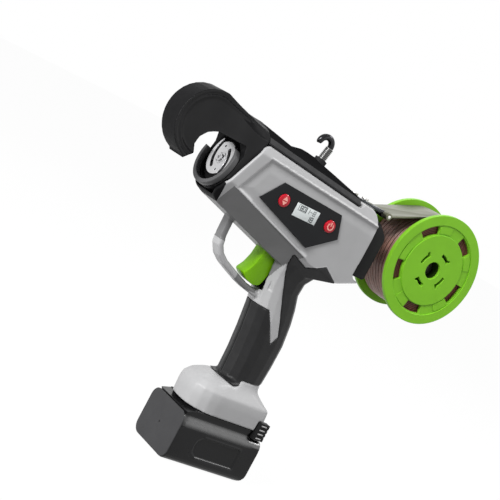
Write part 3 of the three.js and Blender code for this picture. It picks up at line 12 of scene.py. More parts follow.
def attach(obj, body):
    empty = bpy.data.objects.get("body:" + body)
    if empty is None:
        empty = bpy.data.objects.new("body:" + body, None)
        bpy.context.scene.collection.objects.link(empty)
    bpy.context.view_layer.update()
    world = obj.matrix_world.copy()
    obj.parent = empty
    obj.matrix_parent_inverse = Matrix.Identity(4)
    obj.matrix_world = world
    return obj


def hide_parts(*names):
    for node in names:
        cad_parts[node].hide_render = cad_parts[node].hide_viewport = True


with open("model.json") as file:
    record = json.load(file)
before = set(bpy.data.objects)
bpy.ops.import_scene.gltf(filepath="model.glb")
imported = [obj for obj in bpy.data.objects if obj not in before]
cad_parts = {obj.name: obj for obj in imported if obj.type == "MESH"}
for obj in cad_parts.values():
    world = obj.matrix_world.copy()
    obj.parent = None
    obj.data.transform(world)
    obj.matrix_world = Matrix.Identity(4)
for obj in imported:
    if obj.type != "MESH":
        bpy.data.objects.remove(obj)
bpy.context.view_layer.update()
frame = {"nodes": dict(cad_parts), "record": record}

MM = 0.001
bpy.context.scene.view_settings.view_transform = "Standard"
NODES = frame["nodes"]

# The tool's directions: its jaw points to -X, and its control panel is on the near side, -Y
REARWARD, UPWARD = Vector((1, 0, 0)), Vector((0, 0, 1))
NEAR, FAR = Vector((0, -1, 0)), Vector((0, 1, 0))

# The barrel's directions: along its tilted axis to the jaw, and square to that out of its top
TILT = radians(12)
AHEAD = Vector((-cos(TILT), 0, sin(TILT)))
RISING = Vector((sin(TILT), 0, cos(TILT)))

# Centres of the twist rotor's face and of the spool, in millimetres
ROTOR = Vector((-109.9, 0, 239.7))
SPOOL = Vector((120.5, 0, 234.7))


def placed(name, data):
    made = bpy.data.objects.new(name, data)
    bpy.context.scene.collection.objects.link(made)
    return made


def with_inputs(node, values):
    for socket, value in values.items():
        node.inputs[socket].default_value = value
    return node


# Camera, fitted to the photograph: its place is in metres, its lens and sensor in millimetres
CAMERA_RIGHT = Vector((0.74622273, -0.47361411, 0.46780478))
CAMERA_UP = Vector((-0.33806692, 0.33575331, 0.87919308))
CAMERA_BACK = Vector((-0.57346525, -0.81422318, 0.09043349))
CAMERA_PLACE = (-0.68625, -0.91326, 0.28408)
CAMERA_LENS, CAMERA_SENSOR = 98.8078, 36
CAMERA_CLIP = 0.01


def make_camera():
    data = bpy.data.cameras.new("camera")
    data.lens = CAMERA_LENS
    data.sensor_width = CAMERA_SENSOR
    data.clip_start = CAMERA_CLIP
    camera = placed("camera", data)
    turn = Matrix((CAMERA_RIGHT, CAMERA_UP, CAMERA_BACK)).transposed().to_4x4()
    camera.matrix_world = Matrix.Translation(CAMERA_PLACE) @ turn
    bpy.context.scene.camera = camera


# How much of the pale background a ray sees: a share for camera rays, all of it for glossy and
# glass rays, none for others
def background_share(tree, camera_share):
    path = tree.nodes.new("ShaderNodeLightPath")
    share = tree.nodes.new("ShaderNodeMath")
    share.operation = "MULTIPLY"
    share.inputs[1].default_value = camera_share
    tree.links.new(path.outputs["Is Camera Ray"], share.inputs[0])
    value = share.outputs[0]
    for ray in ("Is Glossy Ray", "Is Transmission Ray"):
        most = tree.nodes.new("ShaderNodeMath")
        most.operation = "MAXIMUM"
        tree.links.new(value, most.inputs[0])
        tree.links.new(path.outputs[ray], most.inputs[1])
        value = most.outputs[0]
    return value


# That background as a glow, over a plain shader for all other rays
def background_tree(holder, output_kind, plain_kind, plain_values, camera_share, glow_strength):
    holder.use_nodes = True
    tree = holder.node_tree
    tree.nodes.clear()
    output = tree.nodes.new(output_kind)
    mix = tree.nodes.new("ShaderNodeMixShader")
    plain = with_inputs(tree.nodes.new(plain_kind), plain_values)
    glow = with_inputs(tree.nodes.new("ShaderNodeEmission"), {"Strength": glow_strength})
    tree.links.new(background_share(tree, camera_share), mix.inputs["Fac"])
    tree.links.new(plain.outputs[0], mix.inputs[1])
    tree.links.new(glow.outputs[0], mix.inputs[2])
    tree.links.new(mix.outputs[0], output.inputs["Surface"])


# Light: a plain world and soft lamps, each with its place from the target, its power and size
WORLD_LEVEL = 0.3
LAMP_TARGET = Vector((0, 0, 0.18))
LAMPS = (
    ("key", (-1.17, -0.485, 0.78), 24, 0.5),
    ("front", (-1.46, 0.1, 0.12), 9, 0.5),
    ("side", (0.9, -1.1, 0.5), 3, 0.8),
    ("back", (0.7, 1.1, 0.9), 3, 0.8),
    ("top", (0.86, -0.3, 1.19), 12, 0.4),
)


def make_light():
    world = bpy.data.worlds.new("world")
    bpy.context.scene.world = world
    background_tree(world, "ShaderNodeOutputWorld", "ShaderNodeBackground", {
        "Color": (1, 1, 1, 1), "Strength": WORLD_LEVEL}, 1.0, 1.0)
    for name, place, energy, size in LAMPS:
        data = bpy.data.lights.new(name, "AREA")
        data.energy = energy
        data.size = size
        lamp = placed(name, data)
        lamp.location = LAMP_TARGET + Vector(place)
        lamp.rotation_euler = (-Vector(place)).to_track_quat("-Z", "Y").to_euler()


# Floor: pale to the camera, with the tool's shadow, and quiet as a source of light
FLOOR_REACH = 6
FLOOR_GREY = (0.3, 0.3, 0.3, 1)
FLOOR_SHARE = 0.88
FLOOR_GLOW = 1.1


def make_floor():
    mesh = bpy.data.meshes.new("floor")
    corners = ((-1, -1), (1, -1), (1, 1), (-1, 1))
    mesh.from_pydata([(x * FLOOR_REACH, y * FLOOR_REACH, 0) for x, y in corners], [],
                     [(0, 1, 2, 3)])
    floor = placed("floor", mesh)
    pale = bpy.data.materials.new("floor_pale")
    background_tree(pale, "ShaderNodeOutputMaterial", "ShaderNodeBsdfDiffuse", {
        "Color": FLOOR_GREY}, FLOOR_SHARE, FLOOR_GLOW)
    mesh.materials.append(pale)


# Materials: a colour with slight variation, a roughness that varies, and a fine grain.
# A noise texture's values lie mostly between these two.
NOISE_LOW, NOISE_HIGH = 0.3, 0.7


class Look:
    def __init__(self, name, colour, rough, metal=0.0, specular=0.5):
        self.material = bpy.data.materials.new(name)
        self.material.use_nodes = True
        self.tree = self.material.node_tree
        self.shader = with_inputs(self.tree.nodes["Principled BSDF"], {
            "Base Color": (*colour, 1), "Roughness": rough, "Metallic": metal,
            "Specular IOR Level": specular})
        self.colour = colour
        self.rough = rough
        self.place = self.node("ShaderNodeTexCoord").outputs["Object"]

    def node(self, kind, inputs=None):
        return with_inputs(self.tree.nodes.new(kind), inputs or {})

    def link(self, a, b):
        self.tree.links.new(a, b)

    def stretched(self, scale):
        mapping = self.node("ShaderNodeMapping", {"Scale": scale})
        self.link(self.place, mapping.inputs["Vector"])
        return mapping.outputs["Vector"]

    def noise(self, scale, detail=3.0, vector=None):
        made = self.node("ShaderNodeTexNoise", {"Scale": scale, "Detail": detail})
        self.link(vector or self.place, made.inputs["Vector"])
        return made.outputs["Fac"]

    def ranged(self, value, low, high, from_low=NOISE_LOW, from_high=NOISE_HIGH):
        made = self.node("ShaderNodeMapRange", {
            "From Min": from_low, "From Max": from_high, "To Min": low, "To Max": high})
        self.link(value, made.inputs["Value"])
        return made.outputs["Result"]

    def tint(self, value, share):
        ramp = self.node("ShaderNodeValToRGB")
        low, high = ramp.color_ramp.elements
        low.position, high.position = NOISE_LOW, NOISE_HIGH
        low.color = (*(c * (1 - share) for c in self.colour), 1)
        high.color = (*(min(1, c * (1 + share)) for c in self.colour), 1)
        self.link(value, ramp.inputs["Fac"])
        self.link(ramp.outputs["Color"], self.shader.inputs["Base Color"])

    def roughen(self, value, spread):
        rough = self.ranged(value, self.rough - spread, self.rough + spread)
        self.link(rough, self.shader.inputs["Roughness"])

    def bump(self, value, strength, depth):
        made = self.node("ShaderNodeBump", {"Strength": strength, "Distance": depth})
        self.link(value, made.inputs["Height"])
        self.link(made.outputs["Normal"], self.shader.inputs["Normal"])


# How many times a metre a plastic's colour and roughness vary, and its grain's depth in metres
TINT_SCALE, ROUGH_SCALE, ROUGH_SPREAD = 60, 220, 0.04
GRAIN_DEPTH = 0.0001


def plastic(name, colour, rough, grain=0.1, grain_scale=1600, vary=0.05, specular=0.4, coat=0.0):
    look = Look(name, colour, rough, specular=specular)
    look.shader.inputs["Coat Weight"].default_value = coat
    look.tint(look.noise(TINT_SCALE), vary)
    look.roughen(look.noise(ROUGH_SCALE), ROUGH_SPREAD)
    look.bump(look.noise(grain_scale, 2), grain, GRAIN_DEPTH)
    return look


# The same for brushed metal, whose streaks drive all three
STREAK_SCALE, STREAK_SPREAD, STREAK_BUMP, STREAK_DEPTH = 900, 0.08, 0.12, 0.00005


def brushed(name, colour, rough, along, vary=0.12):
    look = Look(name, colour, rough, metal=1.0)
    streaks = look.noise(STREAK_SCALE, 4, look.stretched(along))
    look.tint(streaks, vary)
    look.roughen(streaks, STREAK_SPREAD)
    look.bump(streaks, STREAK_BUMP, STREAK_DEPTH)
    return look


# Plastics: what plastic() takes, in its order
PLASTICS = {
    "shell": ("shell_grey", (0.365, 0.365, 0.37), 0.42, 0.1, 1500, 0.03),
    # painted shade: a darker copy of the shell grey, for the belly and the flank behind the trigger
    "shell_low": ("shell_low", (0.14, 0.14, 0.142), 0.42, 0.1, 1500, 0.03),
    "black": ("black_plastic", (0.01, 0.01, 0.0105), 0.5, 0.04, 1300, 0.1, 0.1),
    "cover_band": ("cover_band", (0.02, 0.02, 0.021), 0.55, 0.04, 1300, 0.1, 0.08),
    # painted shade: the cover's upward faces, darker than its band and without gloss
    "cover_top": ("cover_top", (0.009, 0.009, 0.0095), 0.6, 0.04, 1300, 0.1, 0.0),
    "head": ("head_black", (0.013, 0.013, 0.0135), 0.4, 0.03, 900, 0.1, 0.12),
    # painted shade for the head's rim and top, and the black of the housing's lip
    "head_rim": ("head_rim", (0.007, 0.007, 0.0075), 0.5, 0.03, 900, 0.1, 0.03),
    "battery": ("battery_black", (0.006, 0.006, 0.0065), 0.3, 0.03, 1200, 0.1, 0.2),
    # painted sheen along the battery's shoulders
    "battery_edge": ("battery_edge", (0.006, 0.006, 0.0065), 0.27, 0.03, 1200, 0.1, 0.2),
    "battery_face": ("battery_face", (0.045, 0.045, 0.047), 0.5, 0.1, 1500, 0.06, 0.1),
    "panel": ("panel_film", (0.0095, 0.01, 0.011), 0.42, 0.04, 1200, 0.08, 0.12),
    "green": ("spool_green", (0.195, 0.49, 0.022), 0.42, 0.05, 900, 0.04, 0.16),
    "core": ("wire_core", (0.24, 0.075, 0.055), 0.5, 0.05, 900, 0.2, 0.2),
    "deep": ("wire_shadow", (0.02, 0.008, 0.006), 0.6, 0.05, 1200, 0.2, 0.2),
    # painted shade: a dark copy of the spool green inside the bores
    "bore_shade_look": ("bore_green", (0.012, 0.03, 0.002), 0.55, 0.05, 900, 0.1, 0.15),
    "trigger": ("trigger_green", (0.17, 0.42, 0.004), 0.3, 0.04, 900, 0.04, 0.16),
    "red": ("button_red", (0.46, 0.002, 0.014), 0.25, 0.02, 900, 0.06, 0.2, 0.25),
    "bezel": ("bezel_grey", (0.07, 0.07, 0.072), 0.42, 0.06, 1200, 0.06, 0.2),
    # painted highlight: light grey ribs on a black latch
    "rib": ("latch_rib", (0.3, 0.3, 0.3), 0.35, 0.02, 1200, 0.05),
    "lcd": ("display_window", (0.66, 0.7, 0.7), 0.3, 0.01, 900, 0.02, 0.3),
    "ink": ("display_ink", (0.02, 0.025, 0.03), 0.5, 0.01, 900, 0.03, 0.2),
    "sign": ("button_sign", (0.85, 0.4, 0.34), 0.4, 0.02, 900, 0.03, 0.2),
    "board": ("board_green", (0.014, 0.1, 0.036), 0.5, 0.1, 600, 0.2),
    "cell": ("cell_wrap", (0.03, 0.25, 0.14), 0.35, 0.05, 600, 0.08),
    "gear": ("gear_acetal", (0.75, 0.71, 0.62), 0.45, 0.1, 800, 0.04),
}
# Metals: what brushed() takes, in its order
METALS = {
    "steel": ("plate_steel", (0.12, 0.123, 0.085), 0.45, (0.05, 1, 0.05)),
    "screw": ("screw_steel", (0.6, 0.59, 0.57), 0.3, (1, 1, 1), 0.06),
    "rotor": ("rotor_steel", (0.62, 0.62, 0.63), 0.36, (1, 0.1, 1), 0.05),
    "collar": ("collar_steel", (0.13, 0.13, 0.128), 0.34, (1, 1, 1)),
    "hook": ("hook_steel", (0.028, 0.028, 0.03), 0.2, (1, 1, 0.2)),
    "dark": ("dark_steel", (0.045, 0.048, 0.052), 0.24, (1, 1, 0.2)),
    "bronze": ("bearing_bronze", (0.43, 0.27, 0.09), 0.4, (1, 1, 1)),
}


# Painted sheen: gives a look more gloss where its surface turns upwards, so these faces reflect the
# lamps more
def sheen_upward(look):
    turn = look.node("ShaderNodeSeparateXYZ")
    look.link(look.node("ShaderNodeTexCoord").outputs["Normal"], turn.inputs["Vector"])
    gloss = look.ranged(turn.outputs["Z"], 0.2, 1.0, from_low=0.1, from_high=0.55)
    look.link(gloss, look.shader.inputs["Specular IOR Level"])


def rubber_look():
    look = Look("grip_rubber", (0.009, 0.009, 0.0095), 0.45, specular=0.22)
    look.tint(look.noise(90), 0.2)
    cells = look.node("ShaderNodeTexVoronoi", {"Scale": 950})
    look.link(look.place, cells.inputs["Vector"])
    look.roughen(look.noise(400), 0.06)
    look.bump(cells.outputs["Distance"], 0.2, 0.0002)
    return look


def wire_look():
    look = Look("wire_coat", (0.3, 0.155, 0.12), 0.34)
    look.shader.inputs["Coat Weight"].default_value = 0.4
    look.tint(look.noise(700, 2, look.stretched((0.3, 1, 0.3))), 0.25)
    look.roughen(look.noise(500), 0.06)
    look.bump(look.noise(1500), 0.1, 0.0001)
    return look


def make_looks():
    looks = {key: plastic(*values) for key, values in PLASTICS.items()}
    looks |= {key: brushed(*values) for key, values in METALS.items()}
    looks |= {"rubber": rubber_look(), "wire": wire_look()}
    sheen_upward(looks["battery_edge"])
    return looks


LOOKS = make_looks()


# Pieces: each rides with its first node, and replaces its nodes unless it is an addition to them
BODIES = {node: body for body, nodes in frame["record"]["behaviour"]["bodies"].items()
          for node in nodes}
SLOTS = {entry["node"]: entry["material_slot"] for entry in frame["record"]["subparts"]}


def new_piece(name, mesh, look, *nodes, addition=False, slot=None):
    piece = placed(name, mesh)
    mesh.materials.clear()
    mesh.materials.append(LOOKS[look].material)
    body, slot = BODIES[nodes[0]], slot or SLOTS[nodes[0]]
    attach(piece, body)
    if not addition:
        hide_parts(*nodes)
    return piece


# Gives the faces that a test picks a second look
def paint(piece, look, picks):
    piece.data.materials.append(LOOKS[look].material)
    for face in piece.data.polygons:
        if picks(face):
            face.material_index = 1


# Opens a mesh for editing and writes it back
@contextmanager
def edited(mesh):
    work = bmesh.new()
    work.from_mesh(mesh)
    yield work
    work.to_mesh(mesh)
    work.free()


# Points closer than this, in metres, are one
WELD = 1e-6


def node_mesh(node):
    source = NODES[node]
    mesh = source.data.copy()
    mesh.transform(source.matrix_world)
    with edited(mesh) as work:
        bmesh.ops.remove_doubles(work, verts=work.verts, dist=WELD)
    return mesh


def joined_mesh(*meshes):
    result = bpy.data.meshes.new("joined")
    with edited(result) as work:
        for mesh in meshes:
            work.from_mesh(mesh)
    return result


# A mesh with one modifier applied, or a curve turned into a mesh
def applied(data, kind=None, **values):
    holder = placed("work", data)
    if kind:
        modifier = holder.modifiers.new(kind, kind)
        for key, value in values.items():
            setattr(modifier, key, value)
    depsgraph = bpy.context.evaluated_depsgraph_get()
    result = bpy.data.meshes.new_from_object(holder.evaluated_get(depsgraph))
    bpy.data.objects.remove(holder)
    return result


def smooth_by_angle(mesh, angle):
    limit = radians(angle)
    with edited(mesh) as work:
        for face in work.faces:
            face.smooth = True
        for edge in work.edges:
            edge.smooth = len(edge.link_faces) == 2 and edge.calc_face_angle(0) < limit


# Passes a mesh's points and normals, in millimetres, through a function of whole arrays
def reshape(mesh, sculpt):
    count = len(mesh.vertices)
    points = np.empty(3 * count)
    normals = np.empty(3 * count)
    mesh.vertices.foreach_get("co", points)
    mesh.vertex_normals.foreach_get("vector", normals)
    moved = sculpt(points.reshape(-1, 3) / MM, normals.reshape(-1, 3))
    mesh.vertices.foreach_set("co", (moved * MM).ravel())
    mesh.update()


# Evens a mesh out by the share that a function gives for each of its points, in millimetres
RELAX_PULL = 0.6


def relax(mesh, share_of, rounds):
    count = len(mesh.vertices)
    points = np.empty(3 * count)
    edges = np.empty(2 * len(mesh.edges), np.int32)
    mesh.vertices.foreach_get("co", points)
    mesh.edges.foreach_get("vertices", edges)
    points = points.reshape(-1, 3)
    share = share_of(points / MM)
    chosen = share > 0
    a, b = edges.reshape(-1, 2).T
    used = chosen[a] | chosen[b]
    a, b = a[used], b[used]
    ends, others = np.concatenate((a, b)), np.concatenate((b, a))
    valence = np.maximum(np.bincount(ends, minlength=count), 1)[:, None]
    for _ in range(rounds):
        total = np.stack([np.bincount(ends, points[others, k], count) for k in range(3)], 1)
        points[chosen] += (RELAX_PULL * share[:, None] * (total / valence - points))[chosen]
    mesh.vertices.foreach_set("co", points.ravel())
    mesh.update()


# A moulded copy of CAD nodes, with soft edges: nodes may be prepared before they are joined, and
# the whole finished before it is smoothed
def moulded(nodes, look, voxel, passes, prepare=None, finish=None):
    meshes = [node_mesh(node) for node in nodes]
    if prepare:
        for mesh in meshes:
            reshape(mesh, prepare)
    mesh = applied(joined_mesh(*meshes), "REMESH", mode="VOXEL", voxel_size=voxel * MM)
    if finish:
        finish(mesh)
    mesh = applied(mesh, "SMOOTH", factor=0.5, iterations=passes)
    for face in mesh.polygons:
        face.use_smooth = True
    return new_piece(f"{nodes[0]}_skin", mesh, look, *nodes)


# A machined copy of a CAD node, with small chamfers: faces this near to flat, in degrees, merge
FLAT_ANGLE = 2


def machined(node, look, edge=0.25, angle=35, smooth=32):
    mesh = node_mesh(node)
    with edited(mesh) as work:
        bmesh.ops.dissolve_limit(work, angle_limit=radians(FLAT_ANGLE), verts=work.verts,
                                 edges=work.edges)
    mesh = applied(mesh, "BEVEL", width=edge * MM, segments=2, limit_method="ANGLE",
                   angle_limit=radians(angle), use_clamp_overlap=True)
    smooth_by_angle(mesh, smooth)
    return new_piece(f"{node}_skin", mesh, look, node)


# A frame from its right and up directions and its origin in millimetres
def plane_at(right, up, origin):
    out = right.cross(up)
    return Matrix.Translation(origin * MM) @ Matrix((right, up, out)).transposed().to_4x4()


# A frame that faces the near side, and one with the spool's axis as its third direction
def near_plane(x, y, z):
    return plane_at(REARWARD, UPWARD, Vector((x, y, z)))


def spool_axis(side):
    return plane_at(UPWARD, REARWARD * side, SPOOL)


# Loops of points in a plane, with angles in degrees
def ring_point(radius, angle, centre=(0, 0)):
    turn = radians(angle)
    return centre[0] + radius * cos(turn), centre[1] + radius * sin(turn)


def arc(radius, start, end, steps, centre=(0, 0)):
    return [ring_point(radius, start + (end - start) * i / steps, centre)
            for i in range(steps + 1)]


def circle(radius, sides, centre=(0, 0)):
    return arc(radius, 0, 360 - 360 / sides, sides - 1, centre)


def band(radius, width, start, end, steps):
    return arc(radius + width / 2, start, end, steps) + arc(radius - width / 2, end, start, steps)


# Flat pieces with holes, drawn as closed loops in a plane, given a thickness and round edges
def plate_mesh(loops, thickness, edge, matrix):
    curve = bpy.data.curves.new("plate", "CURVE")
    curve.dimensions = "2D"
    curve.fill_mode = "BOTH"
    curve.extrude = (thickness / 2 - edge) * MM
    curve.bevel_depth = edge * MM
    curve.offset = -edge * MM
    curve.bevel_resolution = 2
    for loop in loops:
        spline = curve.splines.new("POLY")
        spline.points.add(len(loop) - 1)
        for point, (x, y) in zip(spline.points, loop):
            point.co = (x * MM, y * MM, 0, 1)
        spline.use_cyclic_u = True
    mesh = applied(curve)
    mesh.transform(matrix)
    return mesh


# A turned shape: a profile of radius and height swept round an axis
def turned(profile, sides, matrix, smooth=40):
    mesh = bpy.data.meshes.new("turned")
    turns = [2 * pi * i / sides for i in range(sides)]
    with edited(mesh) as work:
        rings = [[work.verts.new((
            radius * MM * cos(turn), radius * MM * sin(turn), height * MM))
            for turn in (turns if radius else [0])] for radius, height in profile]
        for lower, upper in zip(rings, rings[1:]):
            for i in range(sides):
                j = (i + 1) % sides
                corners = [lower[i % len(lower)], lower[j % len(lower)],
                           upper[j % len(upper)], upper[i % len(upper)]]
                work.faces.new(list(dict.fromkeys(corners)))
        bmesh.ops.recalc_face_normals(work, faces=work.faces)
    mesh.transform(matrix)
    smooth_by_angle(mesh, smooth)
    return mesh


# The closed profile of a turned tube
def tube_profile(inner, outer, low, high):
    return [(inner, low), (outer, low), (outer, high), (inner, high), (inner, low)]


# Faces round a row of rings of points, closed at both ends
def closed_rings(work, rings):
    rings = [[work.verts.new(point) for point in ring] for ring in rings]
    for lower, upper in zip(rings, rings[1:]):
        for k in range(len(lower)):
            j = (k + 1) % len(lower)
            work.faces.new((lower[k], lower[j], upper[j], upper[k]))
    work.faces.new(rings[0][::-1])
    work.faces.new(rings[-1])


# A bar along points, with a radius for each
BAR_SMOOTH = 50


def bar(points, radii, sides, up):
    mesh = bpy.data.meshes.new("bar")
    rings = []
    last = len(points) - 1
    turns = [2 * pi * k / sides for k in range(sides)]
    for i, (point, radius) in enumerate(zip(points, radii)):
        along = (points[min(i + 1, last)] - points[max(i - 1, 0)]).normalized()
        out = (up(point) - along * up(point).dot(along)).normalized()
        across = along.cross(out)
        rings.append([(point + radius * (out * cos(turn) + across * sin(turn))) * MM
                      for turn in turns])
    with edited(mesh) as work:
        closed_rings(work, rings)
        bmesh.ops.recalc_face_normals(work, faces=work.faces)
    smooth_by_angle(mesh, BAR_SMOOTH)
    return mesh


def smoothstep(low, high, value):
    share = np.clip((value - low) / (high - low), 0, 1)
    return share * share * (3 - 2 * share)


# Signed distance from points to a closed outline: negative inside
def outline_distance(x, z, loop):
    least = np.full(x.shape, np.inf)
    inside = np.zeros(x.shape, bool)
    for (x0, z0), (x1, z1) in zip(loop, loop[1:] + loop[:1]):
        dx, dz = x1 - x0, z1 - z0
        share = np.clip(((x - x0) * dx + (z - z0) * dz) / (dx * dx + dz * dz), 0, 1)
        least = np.minimum(least, np.hypot(x - x0 - share * dx, z - z0 - share * dz))
        if dz:
            inside ^= ((z0 > z) != (z1 > z)) & (x < x0 + dx * (z - z0) / dz)
    return np.where(inside, -least, least)


# Housing: the recess in its side with a sloping border, and the pocket behind the trigger.
# Shapes on the body's side are given in shares of its length and height.
BODY_REAR, BODY_LOW, BODY_LENGTH, BODY_HEIGHT, BODY_HALF = 43, 185, 156, 82, 28.5


def on_body(shares):
    return [(BODY_REAR - x * BODY_LENGTH, BODY_LOW + z * BODY_HEIGHT) for x, z in shares]


# The recess as it is drawn, and as it is cut in the CAD
RECESS = on_body([(0.82, 0.89), (-0.12, 0.745), (-0.12, -0.2), (0.25, -0.2), (0.345, 0.165),
                  (0.925, 0.497)])
CUT_RECESS = on_body([(0.82, 0.89), (-0.12, 0.745), (-0.12, 0.17), (0.03, 0.17), (0.2, 0.2),
                      (0.36, 0.175), (0.91, 0.49)])
RECESS_FLOOR, RECESS_FOOT = 1.2, 2.0
RECESS_SLOPE, RECESS_DISH = 2.7, 11
RECESS_EDGE, RECESS_MARGIN = 0.8, 3
POCKET = [(-12.5, 159.5), (-25, 182), (-47, 188), (-47, 163), (-31, 161)]
POCKET_DEPTH, POCKET_SLOPE, POCKET_WIDE = 1.1, 1.6, 12
# The body narrows below the recess, from the snout to the trigger
TAPER, TAPER_REACH = 4.0, 22
TAPER_LOW, TAPER_HIGH = 183, 226
TAPER_FRONT, TAPER_REAR = (-108, -98), (-40, -22)


def sculpt_housing(points, normals):
    x, y, z = points.T
    side = np.sign(y)
    wide = np.abs(y)
    faces_out = normals[:, 1] * side > 0.5
    result = points.copy()
    inside = -outline_distance(x, z, RECESS)
    foot = RECESS_FOOT * smoothstep(0, RECESS_SLOPE, inside)
    dish = (RECESS_FOOT - RECESS_FLOOR) * smoothstep(RECESS_SLOPE, RECESS_DISH, inside)
    level = (wide > BODY_HALF - RECESS_FLOOR - 0.5) & (z > BODY_LOW - RECESS_MARGIN)
    ahead = x < BODY_REAR - RECESS_MARGIN
    step = np.abs(outline_distance(x, z, CUT_RECESS)) < RECESS_EDGE
    edge = (step | (np.abs(inside) < RECESS_EDGE)) & ahead
    chosen = level & (inside > -RECESS_EDGE) & (faces_out | edge)
    result[chosen, 1] = (side * (BODY_HALF - (foot - dish)))[chosen]
    left_over = level & step & (inside <= -RECESS_EDGE) & ahead
    result[left_over, 1] = (side * BODY_HALF)[left_over]
    below = smoothstep(0.5, TAPER_REACH, -inside) * (z < TAPER_HIGH) * (z > TAPER_LOW)
    below *= smoothstep(*TAPER_FRONT, x) * (1 - smoothstep(*TAPER_REAR, x))
    result[:, 1] *= 1 - TAPER / BODY_HALF * below
    pocket = -outline_distance(x, z, POCKET)
    sunk = faces_out & (pocket > 0) & (wide > POCKET_WIDE)
    result[sunk, 1] -= (side * POCKET_DEPTH * smoothstep(0, POCKET_SLOPE, pocket))[sunk]
    return result


# Foot: its corners are eased more than the rest, less at the crease between its tiers, and not
# round the battery's latches
FOOT_LOW, FOOT_HIGH, FOOT_ROUNDS = (48.5, 52), (80, 86), 20
CREASE, CREASE_WIDTH, CREASE_SHARE = 66.5, 2, 0.8
LATCH_AREA, LATCH_TOP = (20, 27), (57, 60)


def foot_share(points):
    x, y, z = points.T
    crease = np.exp(-((z - CREASE) / CREASE_WIDTH) ** 2)
    by_latch = smoothstep(*LATCH_AREA, x) * (1 - smoothstep(*LATCH_TOP, z))
    height = smoothstep(*FOOT_LOW, z) * (1 - smoothstep(*FOOT_HIGH, z))
    return height * (1 - CREASE_SHARE * crease) * (1 - by_latch)


def finish_housing(mesh):
    relax(mesh, foot_share, FOOT_ROUNDS)
    reshape(mesh, sculpt_housing)


# The lip of the housing below the snout is as black as the head
LIP_LOW, LIP_HIGH = Vector((-102.5, 0, 206.8)) * MM, Vector((-109, 0, 222)) * MM
LIP_LEVEL = 190 * MM
# Painted shade: the belly below the recess and the flank behind the trigger, which lie in shade,
# are drawn in a darker grey
SHADED_BELLY = [(-104, 180), (-104, 226.2), (-101.4, 225.4), (-11.3, 198.2), (-17, 186), (-21, 168),
         (-23, 152), (-47, 152), (-47, 183)]
LIP_INDEX, SHADE_INDEX = 1, 2


def housing_piece():
    piece = moulded(["housing_left", "housing_right"], "shell", 0.7, 3, finish=finish_housing)
    for look in ("head_rim", "shell_low"):
        piece.data.materials.append(LOOKS[look].material)
    along = LIP_HIGH - LIP_LOW
    ahead = Vector((-along.z, 0, along.x)).normalized()
    with edited(piece.data) as work:
        front = [face for face in work.faces if face.verts[0].co.z > LIP_LEVEL]
        edges = dict.fromkeys(edge for face in front for edge in face.edges)
        verts = dict.fromkeys(vert for face in front for vert in face.verts)
        bmesh.ops.bisect_plane(work, geom=[*verts, *edges, *front], dist=WELD, plane_co=LIP_LOW,
                               plane_no=ahead)
        centres = [face.calc_center_median() for face in work.faces]
        x, _, z = np.array(centres).T / MM
        in_painted_shade = outline_distance(x, z, SHADED_BELLY) < 0
        for face, centre, low in zip(work.faces, centres, in_painted_shade):
            if centre.z > LIP_LEVEL and (centre - LIP_LOW).dot(ahead) > 0:
                face.material_index = LIP_INDEX
            elif low:
                # faces on the belly and flank get the darker grey of painted shade
                face.material_index = SHADE_INDEX


# Head: rings round the hook's outer edge, and a top that settles to the cover's arch
HOOK_X, HOOK_Z, HOOK_RADIUS = -138.4, 257.3, 30
HOOK_EDGE = 0.8
# Its rim and top, known by the turn of their faces, are drawn a deeper, less glossy black than its
# sides: painted shade on faces that turn towards the lamps
RIM_TURN, TOP_TURN = 0.6, 0.3
# Half the head's width along its length, eased over a few millimetres
HEAD_PLAN = [(-171.4, 12), (-144.4, 12), (-133.9, 13.25), (-123.4, 18), (-112.9, 23),
             (-100.9, 25), (-69.4, 25)]
PLAN_SHIFTS = (-4, -2, 0, 2, 4)
# The straight top leaves the hook's circle at this angle, for a point given in hook radii from
# its centre
HEAD_TOP_ANGLE = radians(85)
TOP_RUN, TOP_FALL = 2.1, 0.63
GROOVE_PLACE, GROOVE_WIDTH, GROOVE_DEPTH = 3.6, 0.75, 0.9
RING_EDGE, RING_FOOT, RING_STEP = 4.9, 7.8, 1.2
RING_REAR = (-122, -106)
ARCH_CENTRE, ARCH_START, ARCH_EASE = 262, -137, 46
ARCH_ANGLES = [0, 0.592, 1.14, 1.337, 1.571]
ARCH_RADII = [17.6, 18.2, 24.2, 26.3, 27]


